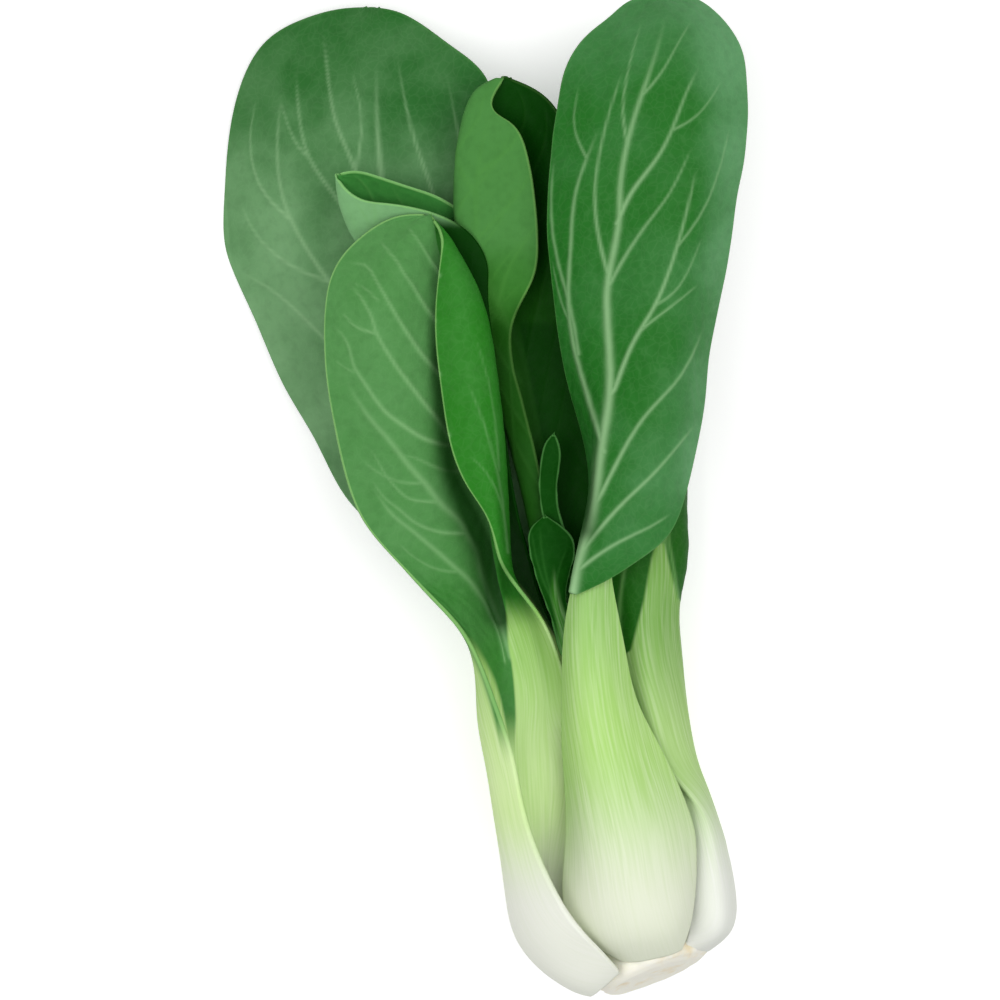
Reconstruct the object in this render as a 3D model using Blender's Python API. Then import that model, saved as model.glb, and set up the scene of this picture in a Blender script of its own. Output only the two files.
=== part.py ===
"""A head of bok choy, cut from its root and lying on its back.

The head points along +Y, from the cut end to the leaf tips, and its front leaves face +Z.
Each leaf is a sheet through a few lengthwise rails, thickened into a solid.
"""

import bpy
import numpy as np

MM = 0.001
# Outline points are (column, row, height): column and row in quarter millimetres on a
# drawing sheet that is tilted against the head, height in millimetres above the ground.
SHEET_UNIT = 0.25
SHEET_CENTRE = (560.0, 490.0)
SHEET_TILT = np.radians(10.0)
COLOUR_GAP = 0.6
# Middle of the head's box on the ground, which becomes the origin.
HEAD_CENTRE = (-4.30, 0.63, 0.0)
# Share of a leaf's length between its last two rows.
TIP_STEP = 0.016
# The margin's second wave, as a multiple of the first one's number, start and height.
SECOND_NUMBER, SECOND_START, SECOND_HEIGHT = 1.7, 2.3, 0.6
WAVE_SLANT = 0.8
# The waves grow from this share of the length, over this share, and end just before the tip.
WAVE_FROM, WAVE_GROWTH, WAVE_END = 0.4, 0.33, 0.08
# Share of the even spacing in the columns, which crowd towards the margins.
EVEN_SHARE = 0.5
# How fast the thickness falls off towards the margins.
THICKNESS_POWER = 1.5


def at(column, row, height):
    """A sheet point as (x, y, z) in millimetres of the head."""
    across = (column - SHEET_CENTRE[0]) * SHEET_UNIT
    along = (SHEET_CENTRE[1] - row) * SHEET_UNIT
    turn_cos, turn_sin = np.cos(SHEET_TILT), np.sin(SHEET_TILT)
    return (across * turn_cos + along * turn_sin, along * turn_cos - across * turn_sin, height)


def smooth_path(points, shares):
    """Points at the given shares of the length of a natural cubic curve through points."""
    points = np.array(points, float)
    count = len(points)
    steps = np.maximum(np.linalg.norm(np.diff(points, axis=0), axis=1), 1e-6) ** 0.5
    knots = np.concatenate([[0.0], np.cumsum(steps)])
    system = np.eye(count)
    right = np.zeros_like(points)
    for i in range(1, count - 1):
        before, after = steps[i - 1], steps[i]
        system[i, i - 1 : i + 2] = before, 2 * (before + after), after
        right[i] = 6 * ((points[i + 1] - points[i]) / after - (points[i] - points[i - 1]) / before)
    bends = np.linalg.solve(system, right)
    dense = np.linspace(0, knots[-1], 24 * count)
    low = np.clip(np.searchsorted(knots, dense, side="right") - 1, 0, count - 2)
    width = (knots[low + 1] - knots[low])[:, None]
    back = (dense - knots[low])[:, None]
    ahead = width - back
    curve = (bends[low] * ahead**3 + bends[low + 1] * back**3) / (6 * width)
    curve += (points[low] / width - bends[low] * width / 6) * ahead
    curve += (points[low + 1] / width - bends[low + 1] * width / 6) * back
    length = np.concatenate([[0.0], np.cumsum(np.linalg.norm(np.diff(curve, axis=0), axis=1))])
    wanted = np.asarray(shares) * length[-1]
    return np.stack([np.interp(wanted, length, curve[:, axis]) for axis in range(3)], axis=1)


def sheet(rails, along, across):
    """Grid of points [row, column]: rails run lengthwise, and each row crosses them."""
    lines = np.array([smooth_path(rail, along) for rail in rails])
    return np.array([smooth_path(lines[:, row], across) for row in range(len(along))])


def normals(grid):
    along = np.gradient(grid, axis=0)
    across = np.gradient(grid, axis=1)
    facing = np.cross(across, along)
    return facing / np.maximum(np.linalg.norm(facing, axis=2, keepdims=True), 1e-9)


def add_body(name, points, faces, material):
    """An object facing outwards, its points in millimetres of the head."""
    faces = [list(face) for face in faces]
    fan = np.array([[face[0], face[i], face[i + 1]] for face in faces for i in range(1, len(face) - 1)])
    if np.linalg.det(points[fan]).sum() < 0:
        faces = [face[::-1] for face in faces]
    mesh = bpy.data.meshes.new(name)
    mesh.from_pydata(((points - HEAD_CENTRE) * MM).tolist(), [], faces)
    mesh.update()
    mesh.materials.append(material)
    bpy.context.scene.collection.objects.link(bpy.data.objects.new(name, mesh))


def solid(name, first, second, material):
    """One closed body between two grids of points, split into triangles alike on both."""
    rows, columns = first.shape[:2]
    count = rows * columns
    index = np.arange(count).reshape(rows, columns)
    a, b, c, d = index[:-1, :-1], index[:-1, 1:], index[1:, 1:], index[1:, :-1]
    top = np.concatenate([np.stack(corner, -1).reshape(-1, 3) for corner in ((a, b, c), (a, c, d))])
    loop = np.concatenate([index[0, :-1], index[:-1, -1], index[-1, :0:-1], index[:0:-1, 0]])
    ahead = np.roll(loop, -1)
    rim = np.concatenate(
        [np.stack((ahead, loop, loop + count), -1), np.stack((ahead, loop + count, ahead + count), -1)]
    )
    faces = np.concatenate([top, top[:, ::-1] + count, rim])
    points = np.concatenate([first.reshape(-1, 3), second.reshape(-1, 3)])
    add_body(name, points, faces.tolist(), material)


def leaf_sides(spec, along, across):
    """The given face of a leaf and the other one, a thickness away.

    middle and edge are (share of the length, thickness) stations. wave is the height of
    the margin's waves, their number and their start.
    """
    face = sheet([rail + [spec["tip"]] for rail in spec["rails"]], along, across)
    face[-1] = smooth_path([face[-1, 0], spec["tip"], face[-1, -1]], across)
    facing = normals(face) * spec["up"]
    along = np.asarray(along)[:, None]
    across = np.asarray(across)[None, :]
    to_margin = np.abs(2 * across - 1)
    height, number, start = spec["wave"]
    swell = np.sin(2 * np.pi * (number * along + start)) + SECOND_HEIGHT * np.sin(
        2 * np.pi * (SECOND_NUMBER * number * along + SECOND_START * start + WAVE_SLANT * across)
    )
    fade = np.clip((along - WAVE_FROM) / WAVE_GROWTH, 0, 1) * np.clip((1 - along) / WAVE_END, 0, 1)
    face = face + facing * (height * to_margin**3 * swell * fade)[..., None]
    face[..., 2] = np.maximum(face[..., 2], 0.0)
    at_middle = np.interp(along, *zip(*spec["middle"]))
    at_edge = np.interp(along, *zip(*spec["edge"]))
    thickness = at_edge + (at_middle - at_edge) * (1 - to_margin**2) ** THICKNESS_POWER
    return face, face + facing * thickness[..., None]


def leaf(name, spec, stalk_rows, blade_rows, columns, stalk_colour, blade_colour):
    """A leaf as a stalk body and a blade body with a small gap between them.

    A body of a leaf that is all stalk or all blade has no rows where it is missing.
    """
    even = np.linspace(0, 1, columns)
    across = EVEN_SHARE * even + (1 - EVEN_SHARE) * (0.5 - 0.5 * np.cos(np.pi * even))
    length = np.linalg.norm(np.diff(np.array(spec["rails"][2]), axis=0), axis=1).sum()
    half_gap = 0.5 * COLOUR_GAP / length
    before_tip = spec["last"] - TIP_STEP
    if stalk_rows and blade_rows:
        stalk_shares = np.linspace(0, spec["split"] - half_gap, stalk_rows)
        blade_shares = np.linspace(spec["split"] + half_gap, before_tip, blade_rows - 1)
        shares = np.concatenate([stalk_shares, blade_shares, [spec["last"]]])
    else:
        shares = np.append(np.linspace(0, before_tip, stalk_rows + blade_rows - 1), spec["last"])
    first, second = leaf_sides(spec, shares, across)
    if stalk_rows:
        solid(f"{name}_stalk", first[:stalk_rows], second[:stalk_rows], stalk_colour)
    if blade_rows:
        solid(f"{name}_blade", first[stalk_rows:], second[stalk_rows:], blade_colour)


# Left front leaf: its stalk is hollow towards the viewer, with a white left rim. The right
# half of its blade is rolled over to the front, so its margin lies on the left half.
LEFT_LEAF = {
    "rails": [
        [(-6.5, -121, 43.5), (-8.2, -118.5, 47), (-11.5, -113.5, 50.8), (-16.6, -105.5, 53.3),
         at(525, 826, 45.5), at(510, 756, 42), at(492, 700, 40), at(466, 640, 37), at(432, 600, 36),
         at(400, 565, 36), at(367, 524, 37), at(348, 480, 39), at(335, 421, 41), at(327, 345, 43),
         at(333, 279, 43), at(358, 242, 42), at(395, 219, 40.5)],
        [(-12, -124.6, 40), (-15, -123.5, 41.5), (-20.5, -119, 43.3), (-25, -112, 44.5),
         (-27, -104, 44.5), (-29.9, -85, 38), (-30.3, -65, 34), (-30.2, -52, 32), at(475, 650, 31),
         at(455, 600, 31.5), at(432, 560, 34), at(400, 505, 38), at(374, 440, 42), at(358, 370, 45.5),
         at(358, 300, 46.5), at(380, 250, 44), at(408, 227, 41.5)],
        [(-14.6, -125.9, 34), (-18, -124.3, 34), (-24.2, -118.8, 33), (-28.6, -112, 32),
         (-30.6, -104, 31), (-28.8, -85, 28.5), (-26.3, -65, 26.5), (-24, -52, 25.5), at(496, 640, 25),
         at(482, 590, 28), at(462, 540, 33), at(432, 480, 39), at(405, 410, 44), at(395, 340, 47.5),
         at(400, 280, 47), at(418, 238, 43)],
        [(-15, -125.2, 28.3), (-18.8, -122.5, 26), (-22.2, -116, 24.5), (-22.8, -103, 25), (-20, -85, 26),
         (-16.5, -65, 26), (-14, -52, 25.5), at(519, 640, 26), at(508, 600, 27), at(500, 567, 28.5),
         at(494, 530, 31), at(485, 480, 34), at(474, 430, 36.5), at(464, 370, 38.5), at(457, 310, 39.5),
         at(448, 265, 40), at(440, 238, 40)],
        [(-14.8, -124.5, 26.9), (-17.8, -121.7, 24.6), (-19.6, -114.6, 23.5), (-19.3, -103, 25),
         (-15.3, -85, 26.5), (-11.7, -65, 27), at(555, 700, 27.5), at(545, 660, 28.5), at(533, 620, 30.5),
         at(520, 592, 33), at(513, 570, 36), at(510, 530, 38), at(508, 485, 40), at(504, 430, 42),
         at(498, 375, 43), at(489, 322, 44), at(474, 280, 44), at(459, 252, 43.5), at(449, 236, 42)],
        [(-14.6, -123.9, 25.4), (-16.9, -120.9, 23.4), (-17.4, -113.3, 22.5), (-16, -103, 24.5),
         (-11.6, -85, 27), (-8.2, -65, 27), at(565, 700, 30.5), at(554, 660, 33), at(541, 622, 36),
         at(524, 592, 38.5), at(513, 572, 40.5), at(503, 540, 44.5), at(492, 490, 47.5), at(484, 435, 49),
         at(476, 380, 49.8), at(468, 325, 49.8), at(459, 285, 49), at(450, 254, 46.5), at(444, 236, 43)],
        [(-14.3, -123.2, 24), (-16, -120, 22), (-15, -112, 21.5), (-12.5, -103, 23.5), (-8, -85, 27),
         (-5, -65, 30), at(573, 700, 33.5), at(562, 665, 36), at(545, 622, 38), at(526, 594, 40.5),
         at(510, 574, 42.5), at(500, 557, 44), at(488, 520, 46), at(467, 484, 46.5), at(447, 428, 47),
         at(438, 370, 47.5), at(437, 300, 47.5), at(442, 252, 46), at(441, 231, 43)],
    ],
    "tip": at(432, 217, 40),
    "middle": [(0, 1.8), (0.08, 6), (0.22, 8), (0.4, 4.5), (0.52, 1.6), (1, 0.9)],
    "edge": [(0, 1.4), (0.08, 2.4), (0.22, 2.0), (0.4, 1.0), (1, 0.7)],
    "last": 0.994,
    "up": 1.0,
    "wave": (0.5, 4.0, 0.1),
    "split": 0.455,
}

# Centre front leaf: a convex stalk, and a blade whose base crosses in front of it.
FRONT_STALK = {
    "rails": [
        [(-5, -118.5, 41.5), (-11.5, -113, 44.5), (-17, -104, 43.5), (-13.6, -85, 39), at(562, 756, 40),
         at(561, 700, 42), at(562, 650, 44.5), at(566, 612, 46), at(573, 580, 46.5), at(586, 540, 46.5)],
        [(-1.5, -119, 43.4), (-6, -113, 50.3), (-9, -104, 52), (-8, -85, 51), at(580, 756, 49.5),
         at(576, 700, 49), at(573, 650, 49), at(576, 612, 49), at(581, 580, 48.8), at(590, 540, 47.8)],
        [(3, -119, 43.8), (2, -113, 52.2), (1.5, -104, 55), (0.5, -85, 54.5), at(606, 756, 52.5),
         at(597, 700, 51), at(589, 650, 50.5), at(587, 612, 50), at(590, 580, 49.5), at(596, 540, 48.3)],
        [(7.3, -118.7, 43.2), (9, -113, 49.6), (11.5, -104, 50.6), (10.3, -85, 50.5), at(636, 756, 48.5),
         at(618, 700, 48.5), at(606, 650, 49), at(599, 612, 49), at(599, 578, 48.8), at(602, 540, 47.8)],
        [(10, -118, 41.3), (12.8, -113, 44), (15.9, -104, 43.2), (17.9, -94, 41.9), (18.1, -87, 41.1),
         at(665, 756, 40.5), at(637, 700, 42), at(625, 650, 44.5), at(616, 605, 46), at(611, 575, 46.5),
         at(606, 540, 46.5)],
    ],
    "tip": at(596, 520, 46.5),
    "middle": [(0, 2.0), (0.08, 6), (0.25, 8), (0.6, 6.0), (0.85, 3.5), (1, 1.4)],
    "edge": [(0, 1.4), (0.1, 1.8), (0.6, 1.6), (1, 1.0)],
    "last": 0.985,
    "up": -1.0,
    "wave": (0.0, 1.0, 0.0),
    "split": 1.0,
}
FRONT_BLADE = {
    "rails": [
        [at(568, 591, 49.8), at(574, 560, 48.5), at(583, 520, 45), at(588, 480, 42), at(580, 430, 41),
         at(566, 380, 42), at(553, 300, 46), at(547, 220, 48), at(552, 140, 48), at(570, 62, 46),
         at(606, 20, 44), at(630, 2, 43)],
        [at(570, 591, 50.6), at(575, 565, 51), at(586, 520, 51), at(594, 470, 50), at(592, 420, 49.5),
         at(586, 370, 50), at(580, 300, 52.5), at(580, 220, 54), at(590, 140, 54), at(610, 70, 51),
         at(635, 20, 46.5)],
        [at(572, 592, 51), at(579, 565, 52.8), at(590, 527, 54.5), at(597, 485, 55), at(601, 446, 54.5),
         at(607, 402, 54.5), at(609, 366, 54.5), at(608, 277, 56), at(619, 192, 57), at(639, 103, 56),
         at(652, 52, 53), at(658, 18, 48)],
        [at(574, 593, 51.2), at(592, 575, 54), at(618, 545, 57), at(640, 510, 58.5), at(652, 460, 59),
         at(660, 400, 59.5), at(664, 330, 60), at(668, 270, 60.5), at(680, 200, 60), at(693, 130, 58),
         at(695, 60, 53), at(682, 16, 47)],
        [at(576, 594, 51.2), at(606, 580, 53), at(637, 560, 55), at(666, 536, 54.5), at(682, 503, 52.5),
         at(696, 446, 50), at(704, 400, 49), at(708, 357, 48.5), at(717, 312, 48.5), at(726, 263, 49),
         at(733, 214, 49.5), at(743, 165, 49.5), at(746, 100, 48), at(738, 48, 45), at(718, 16, 43),
         at(694, -1, 42)],
    ],
    "tip": at(662, -4, 42),
    "middle": [(0, 2.0), (0.3, 1.8), (1, 0.9)],
    "edge": [(0, 1.0), (0.3, 0.8), (1, 0.7)],
    "last": 0.994,
    "up": -1.0,
    "wave": (0.35, 4.0, 0.45),
    "split": 0.0,
}

# Right outer leaf: convex white stalk, blade under the blade of the front leaf.
RIGHT_LEAF = {
    "rails": [
        [(11.5, -117.5, 40), (14.7, -112, 45.8), (17.3, -104, 46.4), (19.5, -97, 44), (20.6, -91, 40.8),
         (20.6, -85, 37.6), (19.4, -79, 35.4), at(650, 755, 33), at(630, 700, 33.5), at(612, 650, 34),
         at(608, 600, 36), at(612, 560, 38), at(612, 500, 39), at(606, 440, 38), at(600, 400, 37),
         at(596, 320, 36), at(606, 240, 36), at(634, 180, 35), at(660, 158, 34.5)],
        [(13.8, -119, 36), (20.5, -114, 42.3), (23.8, -104, 41), (24, -95, 38.8), at(690, 810, 36.5),
         at(668, 760, 37), at(651, 700, 38), at(643, 650, 39), at(644, 600, 40), at(648, 560, 40.5),
         at(650, 500, 43), at(640, 440, 44), at(634, 380, 44), at(634, 300, 43), at(644, 230, 40.5),
         at(662, 172, 36.5)],
        [(16.5, -120, 31), (23.7, -115, 31.5), (25.7, -104, 31.5), (25.2, -94, 31), (23, -80, 30.5),
         at(692, 760, 31), at(672, 700, 34), at(664, 650, 36), at(662, 600, 38), at(664, 560, 39),
         at(668, 500, 42), at(666, 440, 43), at(664, 380, 43.5), at(668, 300, 42.5), at(674, 230, 40),
         at(680, 168, 36)],
        [(16.8, -119.5, 26.5), (22.5, -115, 23), (25, -104, 24), (24.4, -92, 24), (22.5, -80, 24),
         at(696, 758, 24.5), at(687, 700, 26), at(682, 650, 28), at(680, 605, 31), at(687, 560, 33),
         at(684, 500, 37), at(684, 440, 38.5), at(684, 380, 38.5), at(692, 300, 37.5), at(700, 230, 36.5),
         at(696, 172, 35)],
        [(15.6, -118.5, 23.5), (17.5, -114, 18), (17.5, -103, 17), (16, -90, 17.5), (15, -78, 17),
         at(674, 752, 17.5), at(668, 700, 19), at(667, 650, 22), at(670, 605, 25), at(681, 560, 28),
         at(687, 505, 31), at(690, 440, 32), at(694, 380, 33), at(706, 300, 33), at(718, 230, 33),
         at(712, 184, 33.5)],
    ],
    "tip": at(682, 150, 34),
    "middle": [(0, 1.8), (0.08, 4.5), (0.25, 5.5), (0.42, 4.2), (0.55, 1.6), (1, 0.9)],
    "edge": [(0, 1.4), (0.08, 2.0), (0.25, 1.8), (0.42, 1.0), (1, 0.7)],
    "last": 0.994,
    "up": -1.0,
    "wave": (0.4, 4.0, 0.7),
    "split": 0.43,
}

# Back left leaf: the broad low blade that spreads to the left.
BACK_LEFT_LEAF = {
    "rails": [
        [(-12, -121, 22), (-21.5, -117.5, 17.3), (-28, -104, 17.5), (-27.5, -85, 15), (-25, -52, 15),
         at(440, 590, 13), at(389, 540, 10), at(346, 498, 8), at(315, 440, 6), at(284, 385, 4),
         at(253, 314, 2), at(224, 252, 0.6), at(222, 195, 0.3), at(237, 96, 2), at(265, 39, 5),
         at(305, 16, 8), at(340, 7, 10)],
        [(-9.5, -122.4, 18.2), (-17.5, -118, 11.5), (-22.5, -104, 8.5), (-22, -85, 7.5), (-19, -52, 8.5),
         at(480, 600, 8.5), at(425, 540, 9), at(385, 480, 9.5), at(345, 400, 9.5), at(310, 320, 9),
         at(285, 240, 8.5), at(280, 160, 9), at(300, 90, 10.5), at(335, 38, 12), at(358, 14, 13)],
        [(-6, -123, 15.2), (-11.5, -118, 6.5), (-14.5, -104, 2.5), (-14, -85, 1.6), (-13, -52, 5),
         at(508, 600, 8), at(470, 540, 11), at(440, 470, 13.5), at(405, 390, 15.5), at(372, 310, 16.5),
         at(350, 230, 16.5), at(345, 150, 16), at(352, 85, 15.5), at(364, 40, 15), at(370, 16, 14.5)],
        [(-2, -123, 13.5), (-4, -118, 4.5), (-4, -104, -0.7), (-4, -85, -0.7), (-6, -52, 4),
         at(530, 600, 8), at(505, 540, 11.5), at(480, 470, 15), at(450, 390, 17.5), at(425, 310, 18.5),
         at(408, 230, 19), at(400, 150, 19), at(397, 90, 18), at(390, 45, 17), at(381, 18, 16)],
        [(2, -122.5, 13.2), (5, -117.5, 5.5), (7.8, -104, 1.6), (7.2, -85, 1.3), (3, -52, 4.8),
         at(560, 600, 9), at(540, 540, 13), at(522, 470, 16), at(505, 390, 18), at(495, 310, 19.5),
         at(490, 230, 20.5), at(492, 150, 21), at(487, 80, 20.5), at(452, 46, 19.5), at(425, 26, 18),
         at(398, 11, 16.5)],
    ],
    "tip": at(372, 6, 14.5),
    "middle": [(0, 1.8), (0.08, 4.5), (0.2, 6.5), (0.34, 4.5), (0.46, 1.8), (1, 0.9)],
    "edge": [(0, 1.4), (0.08, 1.8), (0.34, 1.2), (0.5, 0.8), (1, 0.7)],
    "last": 0.994,
    "up": 1.0,
    "wave": (0.8, 3.5, 0.2),
    "split": 0.38,
}

# Back right leaf: low under the front and right leaves.
BACK_RIGHT_LEAF = {
    "rails": [
        [(5.5, -122, 13.6), (8, -117.5, 6.3), (9.8, -104, 3.2), (9, -85, 3), (5, -52, 6), at(585, 590, 8),
         at(580, 520, 11), at(572, 440, 14.5), at(560, 360, 17), at(556, 280, 18), at(562, 200, 18),
         at(585, 120, 17), at(625, 66, 14.5)],
        [(9, -121.5, 14.8), (12, -117, 8.3), (14.2, -104, 5.8), (13, -85, 5.2), (9, -52, 6.5),
         at(610, 590, 7), at(608, 520, 7), at(606, 440, 8), at(603, 360, 9.5), at(602, 280, 10),
         at(606, 200, 10), at(622, 120, 10), at(648, 60, 9.5)],
        [(12.2, -121, 16.8), (16, -116.5, 11.3), (18.6, -104, 9.6), (17, -85, 8.8), (12.5, -52, 8.5),
         at(632, 590, 7), at(638, 520, 5.5), at(645, 440, 4.5), at(648, 360, 3.5), at(650, 280, 2.8),
         at(652, 200, 3.2), at(660, 120, 5), at(670, 57, 8)],
        [(14.7, -120.5, 19.4), (19, -116, 14.8), (21.8, -104, 14), (20.3, -85, 13), (16, -52, 11.5),
         at(652, 590, 9), at(663, 520, 6), at(674, 440, 4), at(682, 360, 2.2), at(690, 280, 0.8),
         at(697, 200, 1), at(702, 120, 4), at(694, 60, 7.5)],
        [(16.5, -119.5, 22), (20.8, -115.5, 18.3), (23.8, -104, 18.5), (22.6, -85, 18), (18.5, -52, 15.5),
         at(668, 590, 13), at(679, 520, 8.5), at(690, 440, 5), at(699, 360, 2.2), at(710, 280, 0.5),
         at(722, 200, 0.3), at(730, 125, 3.5), at(716, 72, 7)],
    ],
    "tip": at(674, 46, 9),
    "middle": [(0, 1.6), (0.08, 3.8), (0.2, 5.4), (0.34, 4), (0.46, 1.8), (1, 0.9)],
    "edge": [(0, 1.2), (0.08, 1.5), (0.34, 1.2), (0.5, 0.8), (1, 0.7)],
    "last": 0.994,
    "up": 1.0,
    "wave": (0.5, 3.0, 0.6),
    "split": 0.38,
}

# Cup leaf: rolled like a cup, between the back left leaf and the left front leaf.
CUP_LEAF = {
    "rails": [
        [(-3.8, -108.6, 24), (-4, -85, 22), (-3.5, -52, 20.3), at(543, 608, 26), at(528, 560, 30.5),
         at(514, 505, 34), at(505, 440, 36.5), at(496, 370, 37.8), at(488, 310, 38.2), at(487, 286, 38.4),
         at(486, 264, 38.6), at(470, 236, 38.8), at(440, 217, 38.5), at(397, 206, 38), at(364, 202, 37.3),
         at(345, 190, 36.4)],
        [(-3.5, -108.6, 22.8), (-5, -85, 20.3), (-5.2, -52, 18.2), at(522, 600, 18.5), at(486, 520, 26),
         at(462, 420, 33), at(428, 340, 33), at(388, 285, 32), at(354, 240, 32), at(339, 204, 34)],
        [(-2, -108.6, 22), (-3.2, -85, 18.8), (-3.5, -52, 16.2), at(515, 600, 14.5), at(482, 520, 21.5),
         at(462, 420, 26), at(440, 340, 26), at(400, 275, 26.5), at(368, 222, 28), at(348, 194, 31.5)],
        [(0, -108.6, 22), (-0.5, -85, 18.2), (0, -52, 15.6), at(538, 600, 13.6), at(510, 520, 19),
         at(500, 420, 24), at(495, 330, 24.5), at(490, 250, 26), at(455, 207, 29), at(418, 190, 31.5),
         at(383, 178, 33), at(356, 171, 34)],
    ],
    "tip": at(335, 175, 35),
    "middle": [(0, 1.4), (0.3, 1.4), (0.5, 1.1), (1, 0.8)],
    "edge": [(0, 1.0), (0.3, 1.0), (0.5, 0.8), (1, 0.7)],
    "last": 0.994,
    "up": 1.0,
    "wave": (0.3, 4.0, 0.3),
    "split": 0.36,
}

# Centre back leaf: its left side is curled forward and shows the paler underside.
CENTRE_LEAF = {
    "rails": [
        [(5, -108.6, 31.5), (5.5, -85, 32), (5, -52, 31.5), at(568, 600, 31.5), at(545, 500, 32.5),
         at(522, 400, 36), at(512, 325, 37.5), at(532, 280, 38), at(537, 230, 38.5), at(529, 165, 38.5),
         at(512, 125, 37.5), at(492, 108, 36.5)],
        [(3.4, -108.6, 30), (3, -85, 30), (2.5, -52, 29.5), at(556, 600, 30), at(528, 500, 31),
         at(502, 400, 33.5), at(482, 320, 34), at(463, 255, 34), at(457, 200, 34), at(461, 140, 34),
         at(470, 105, 34), at(480, 90, 33.8)],
        [(3.4, -108.6, 27.5), (3, -85, 27), (2.5, -52, 26.5), at(556, 600, 27.5), at(532, 500, 28.5),
         at(508, 400, 29.5), at(494, 320, 29), at(484, 250, 29), at(484, 190, 29.5), at(488, 130, 30.5),
         at(494, 100, 32)],
        [(6, -108.6, 26), (6.5, -85, 25.5), (6.5, -52, 25), at(578, 600, 25.5), at(560, 500, 27),
         at(542, 400, 28.5), at(532, 320, 29.5), at(528, 250, 30), at(530, 180, 31), at(527, 120, 32),
         at(516, 92, 32.8)],
        [(8.6, -108.6, 27), (10, -85, 26.5), (10.5, -52, 26.5), at(604, 600, 28), at(604, 500, 30),
         at(596, 400, 32), at(588, 320, 34), at(580, 250, 35), at(576, 180, 36), at(558, 116, 35.5),
         at(536, 92, 34)],
    ],
    "tip": at(505, 78, 33.3),
    "middle": [(0, 1.4), (0.3, 2.0), (0.5, 1.3), (1, 0.8)],
    "edge": [(0, 1.2), (0.3, 1.2), (0.5, 0.8), (1, 0.7)],
    "last": 0.994,
    "up": -1.0,
    "wave": (0.3, 4.0, 0.8),
    "split": 0.42,
}

# Heart leaf: small and dark green, in the gap between the front leaves.
HEART_LEAF = {
    "rails": [
        [(3, -108.6, 35.5), (2, -80, 36.3), (-1, -52, 36.6), at(562, 655, 36.8), at(553, 625, 37.3),
         at(541, 592, 37.8), at(531, 555, 38), at(530, 530, 37.8)],
        [(4.2, -108.6, 34.6), (4, -80, 35.6), (1.5, -52, 36.1), at(569, 655, 36.8), at(560, 625, 37.5),
         at(549, 592, 38.4), at(540, 555, 38.8), at(538, 524, 38.4)],
        [(5.6, -108.6, 34.6), (6.5, -80, 35.6), (4.5, -52, 36.1), at(578, 655, 36.8), at(567, 625, 37.3),
         at(557, 592, 38.2), at(555, 555, 38.8), at(550, 522, 38.4)],
        [(7, -108.6, 35.2), (9, -80, 36.3), (8, -52, 36.6), at(588, 655, 36.5), at(575, 625, 37),
         at(566, 592, 37.3), at(574, 548, 37.6), at(563, 528, 37.8)],
    ],
    "tip": at(545, 515, 38),
    "middle": [(0, 1.2), (0.5, 1.8), (1, 0.9)],
    "edge": [(0, 1.0), (0.5, 1.0), (1, 0.7)],
    "last": 0.994,
    "up": -1.0,
    "wave": (0.25, 3.0, 0.1),
    "split": 1.0,
}

# Second heart leaf: smaller and deeper, its tip shows beside the blade of the front leaf.
SMALL_HEART_LEAF = {
    "rails": [
        [(7.2, -108.6, 31), (8, -80, 29.8), (8, -52, 30), at(578, 620, 34.3), at(556, 560, 35),
         at(540, 500, 36), at(541, 460, 37.2), at(546, 442, 37.6)],
        [(8, -108.6, 30.3), (9.5, -80, 29.5), (10, -52, 29.8), at(588, 620, 34), at(565, 560, 34.8),
         at(549, 500, 36.2), at(550, 460, 37.6), at(551, 441, 38)],
        [(8.8, -108.6, 29.6), (11, -80, 29.2), (12, -52, 29.5), at(598, 620, 33), at(575, 560, 34.6),
         at(557, 500, 36), at(560, 458, 37.4), at(558, 443, 37.8)],
    ],
    "tip": at(554, 433, 38),
    "middle": [(0, 1.0), (0.5, 1.2), (1, 0.9)],
    "edge": [(0, 0.9), (0.5, 0.8), (1, 0.7)],
    "last": 0.994,
    "up": -1.0,
    "wave": (0.2, 3.0, 0.4),
    "split": 1.0,
}

# Stem base: the core that the leaves grow from, cut off square at a slight tilt.
BASE_CENTRE = (2.0, 29.0)
# Distance along the head and radius of each ring.
BASE_RINGS = [
    (-123.6, 12.8), (-123.0, 13.5), (-122.0, 13.3), (-120.9, 11.6), (-118, 9.8), (-114, 8.5),
    (-109.2, 7.2),
]
BASE_SIDES = 40
# The cut end leans this far against the upright, and turns this far to the right.
CUT_TILT = np.tan(np.radians(11.0))
CUT_TURN = np.tan(np.radians(11.0))
# The lean fades out from the cut end to this far along the head.
CUT_END, STRAIGHT_FROM = -123.6, -114.0


def paint(name, colour, roughness):
    material = bpy.data.materials.new(name)
    material.use_nodes = True
    shader = material.node_tree.nodes["Principled BSDF"]
    shader.inputs["Base Color"].default_value = (*colour, 1.0)
    shader.inputs["Roughness"].default_value = roughness
    shader.inputs["Metallic"].default_value = 0.0
    material.diffuse_color = (*colour, 1.0)
    material.roughness = roughness
    return material


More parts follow.
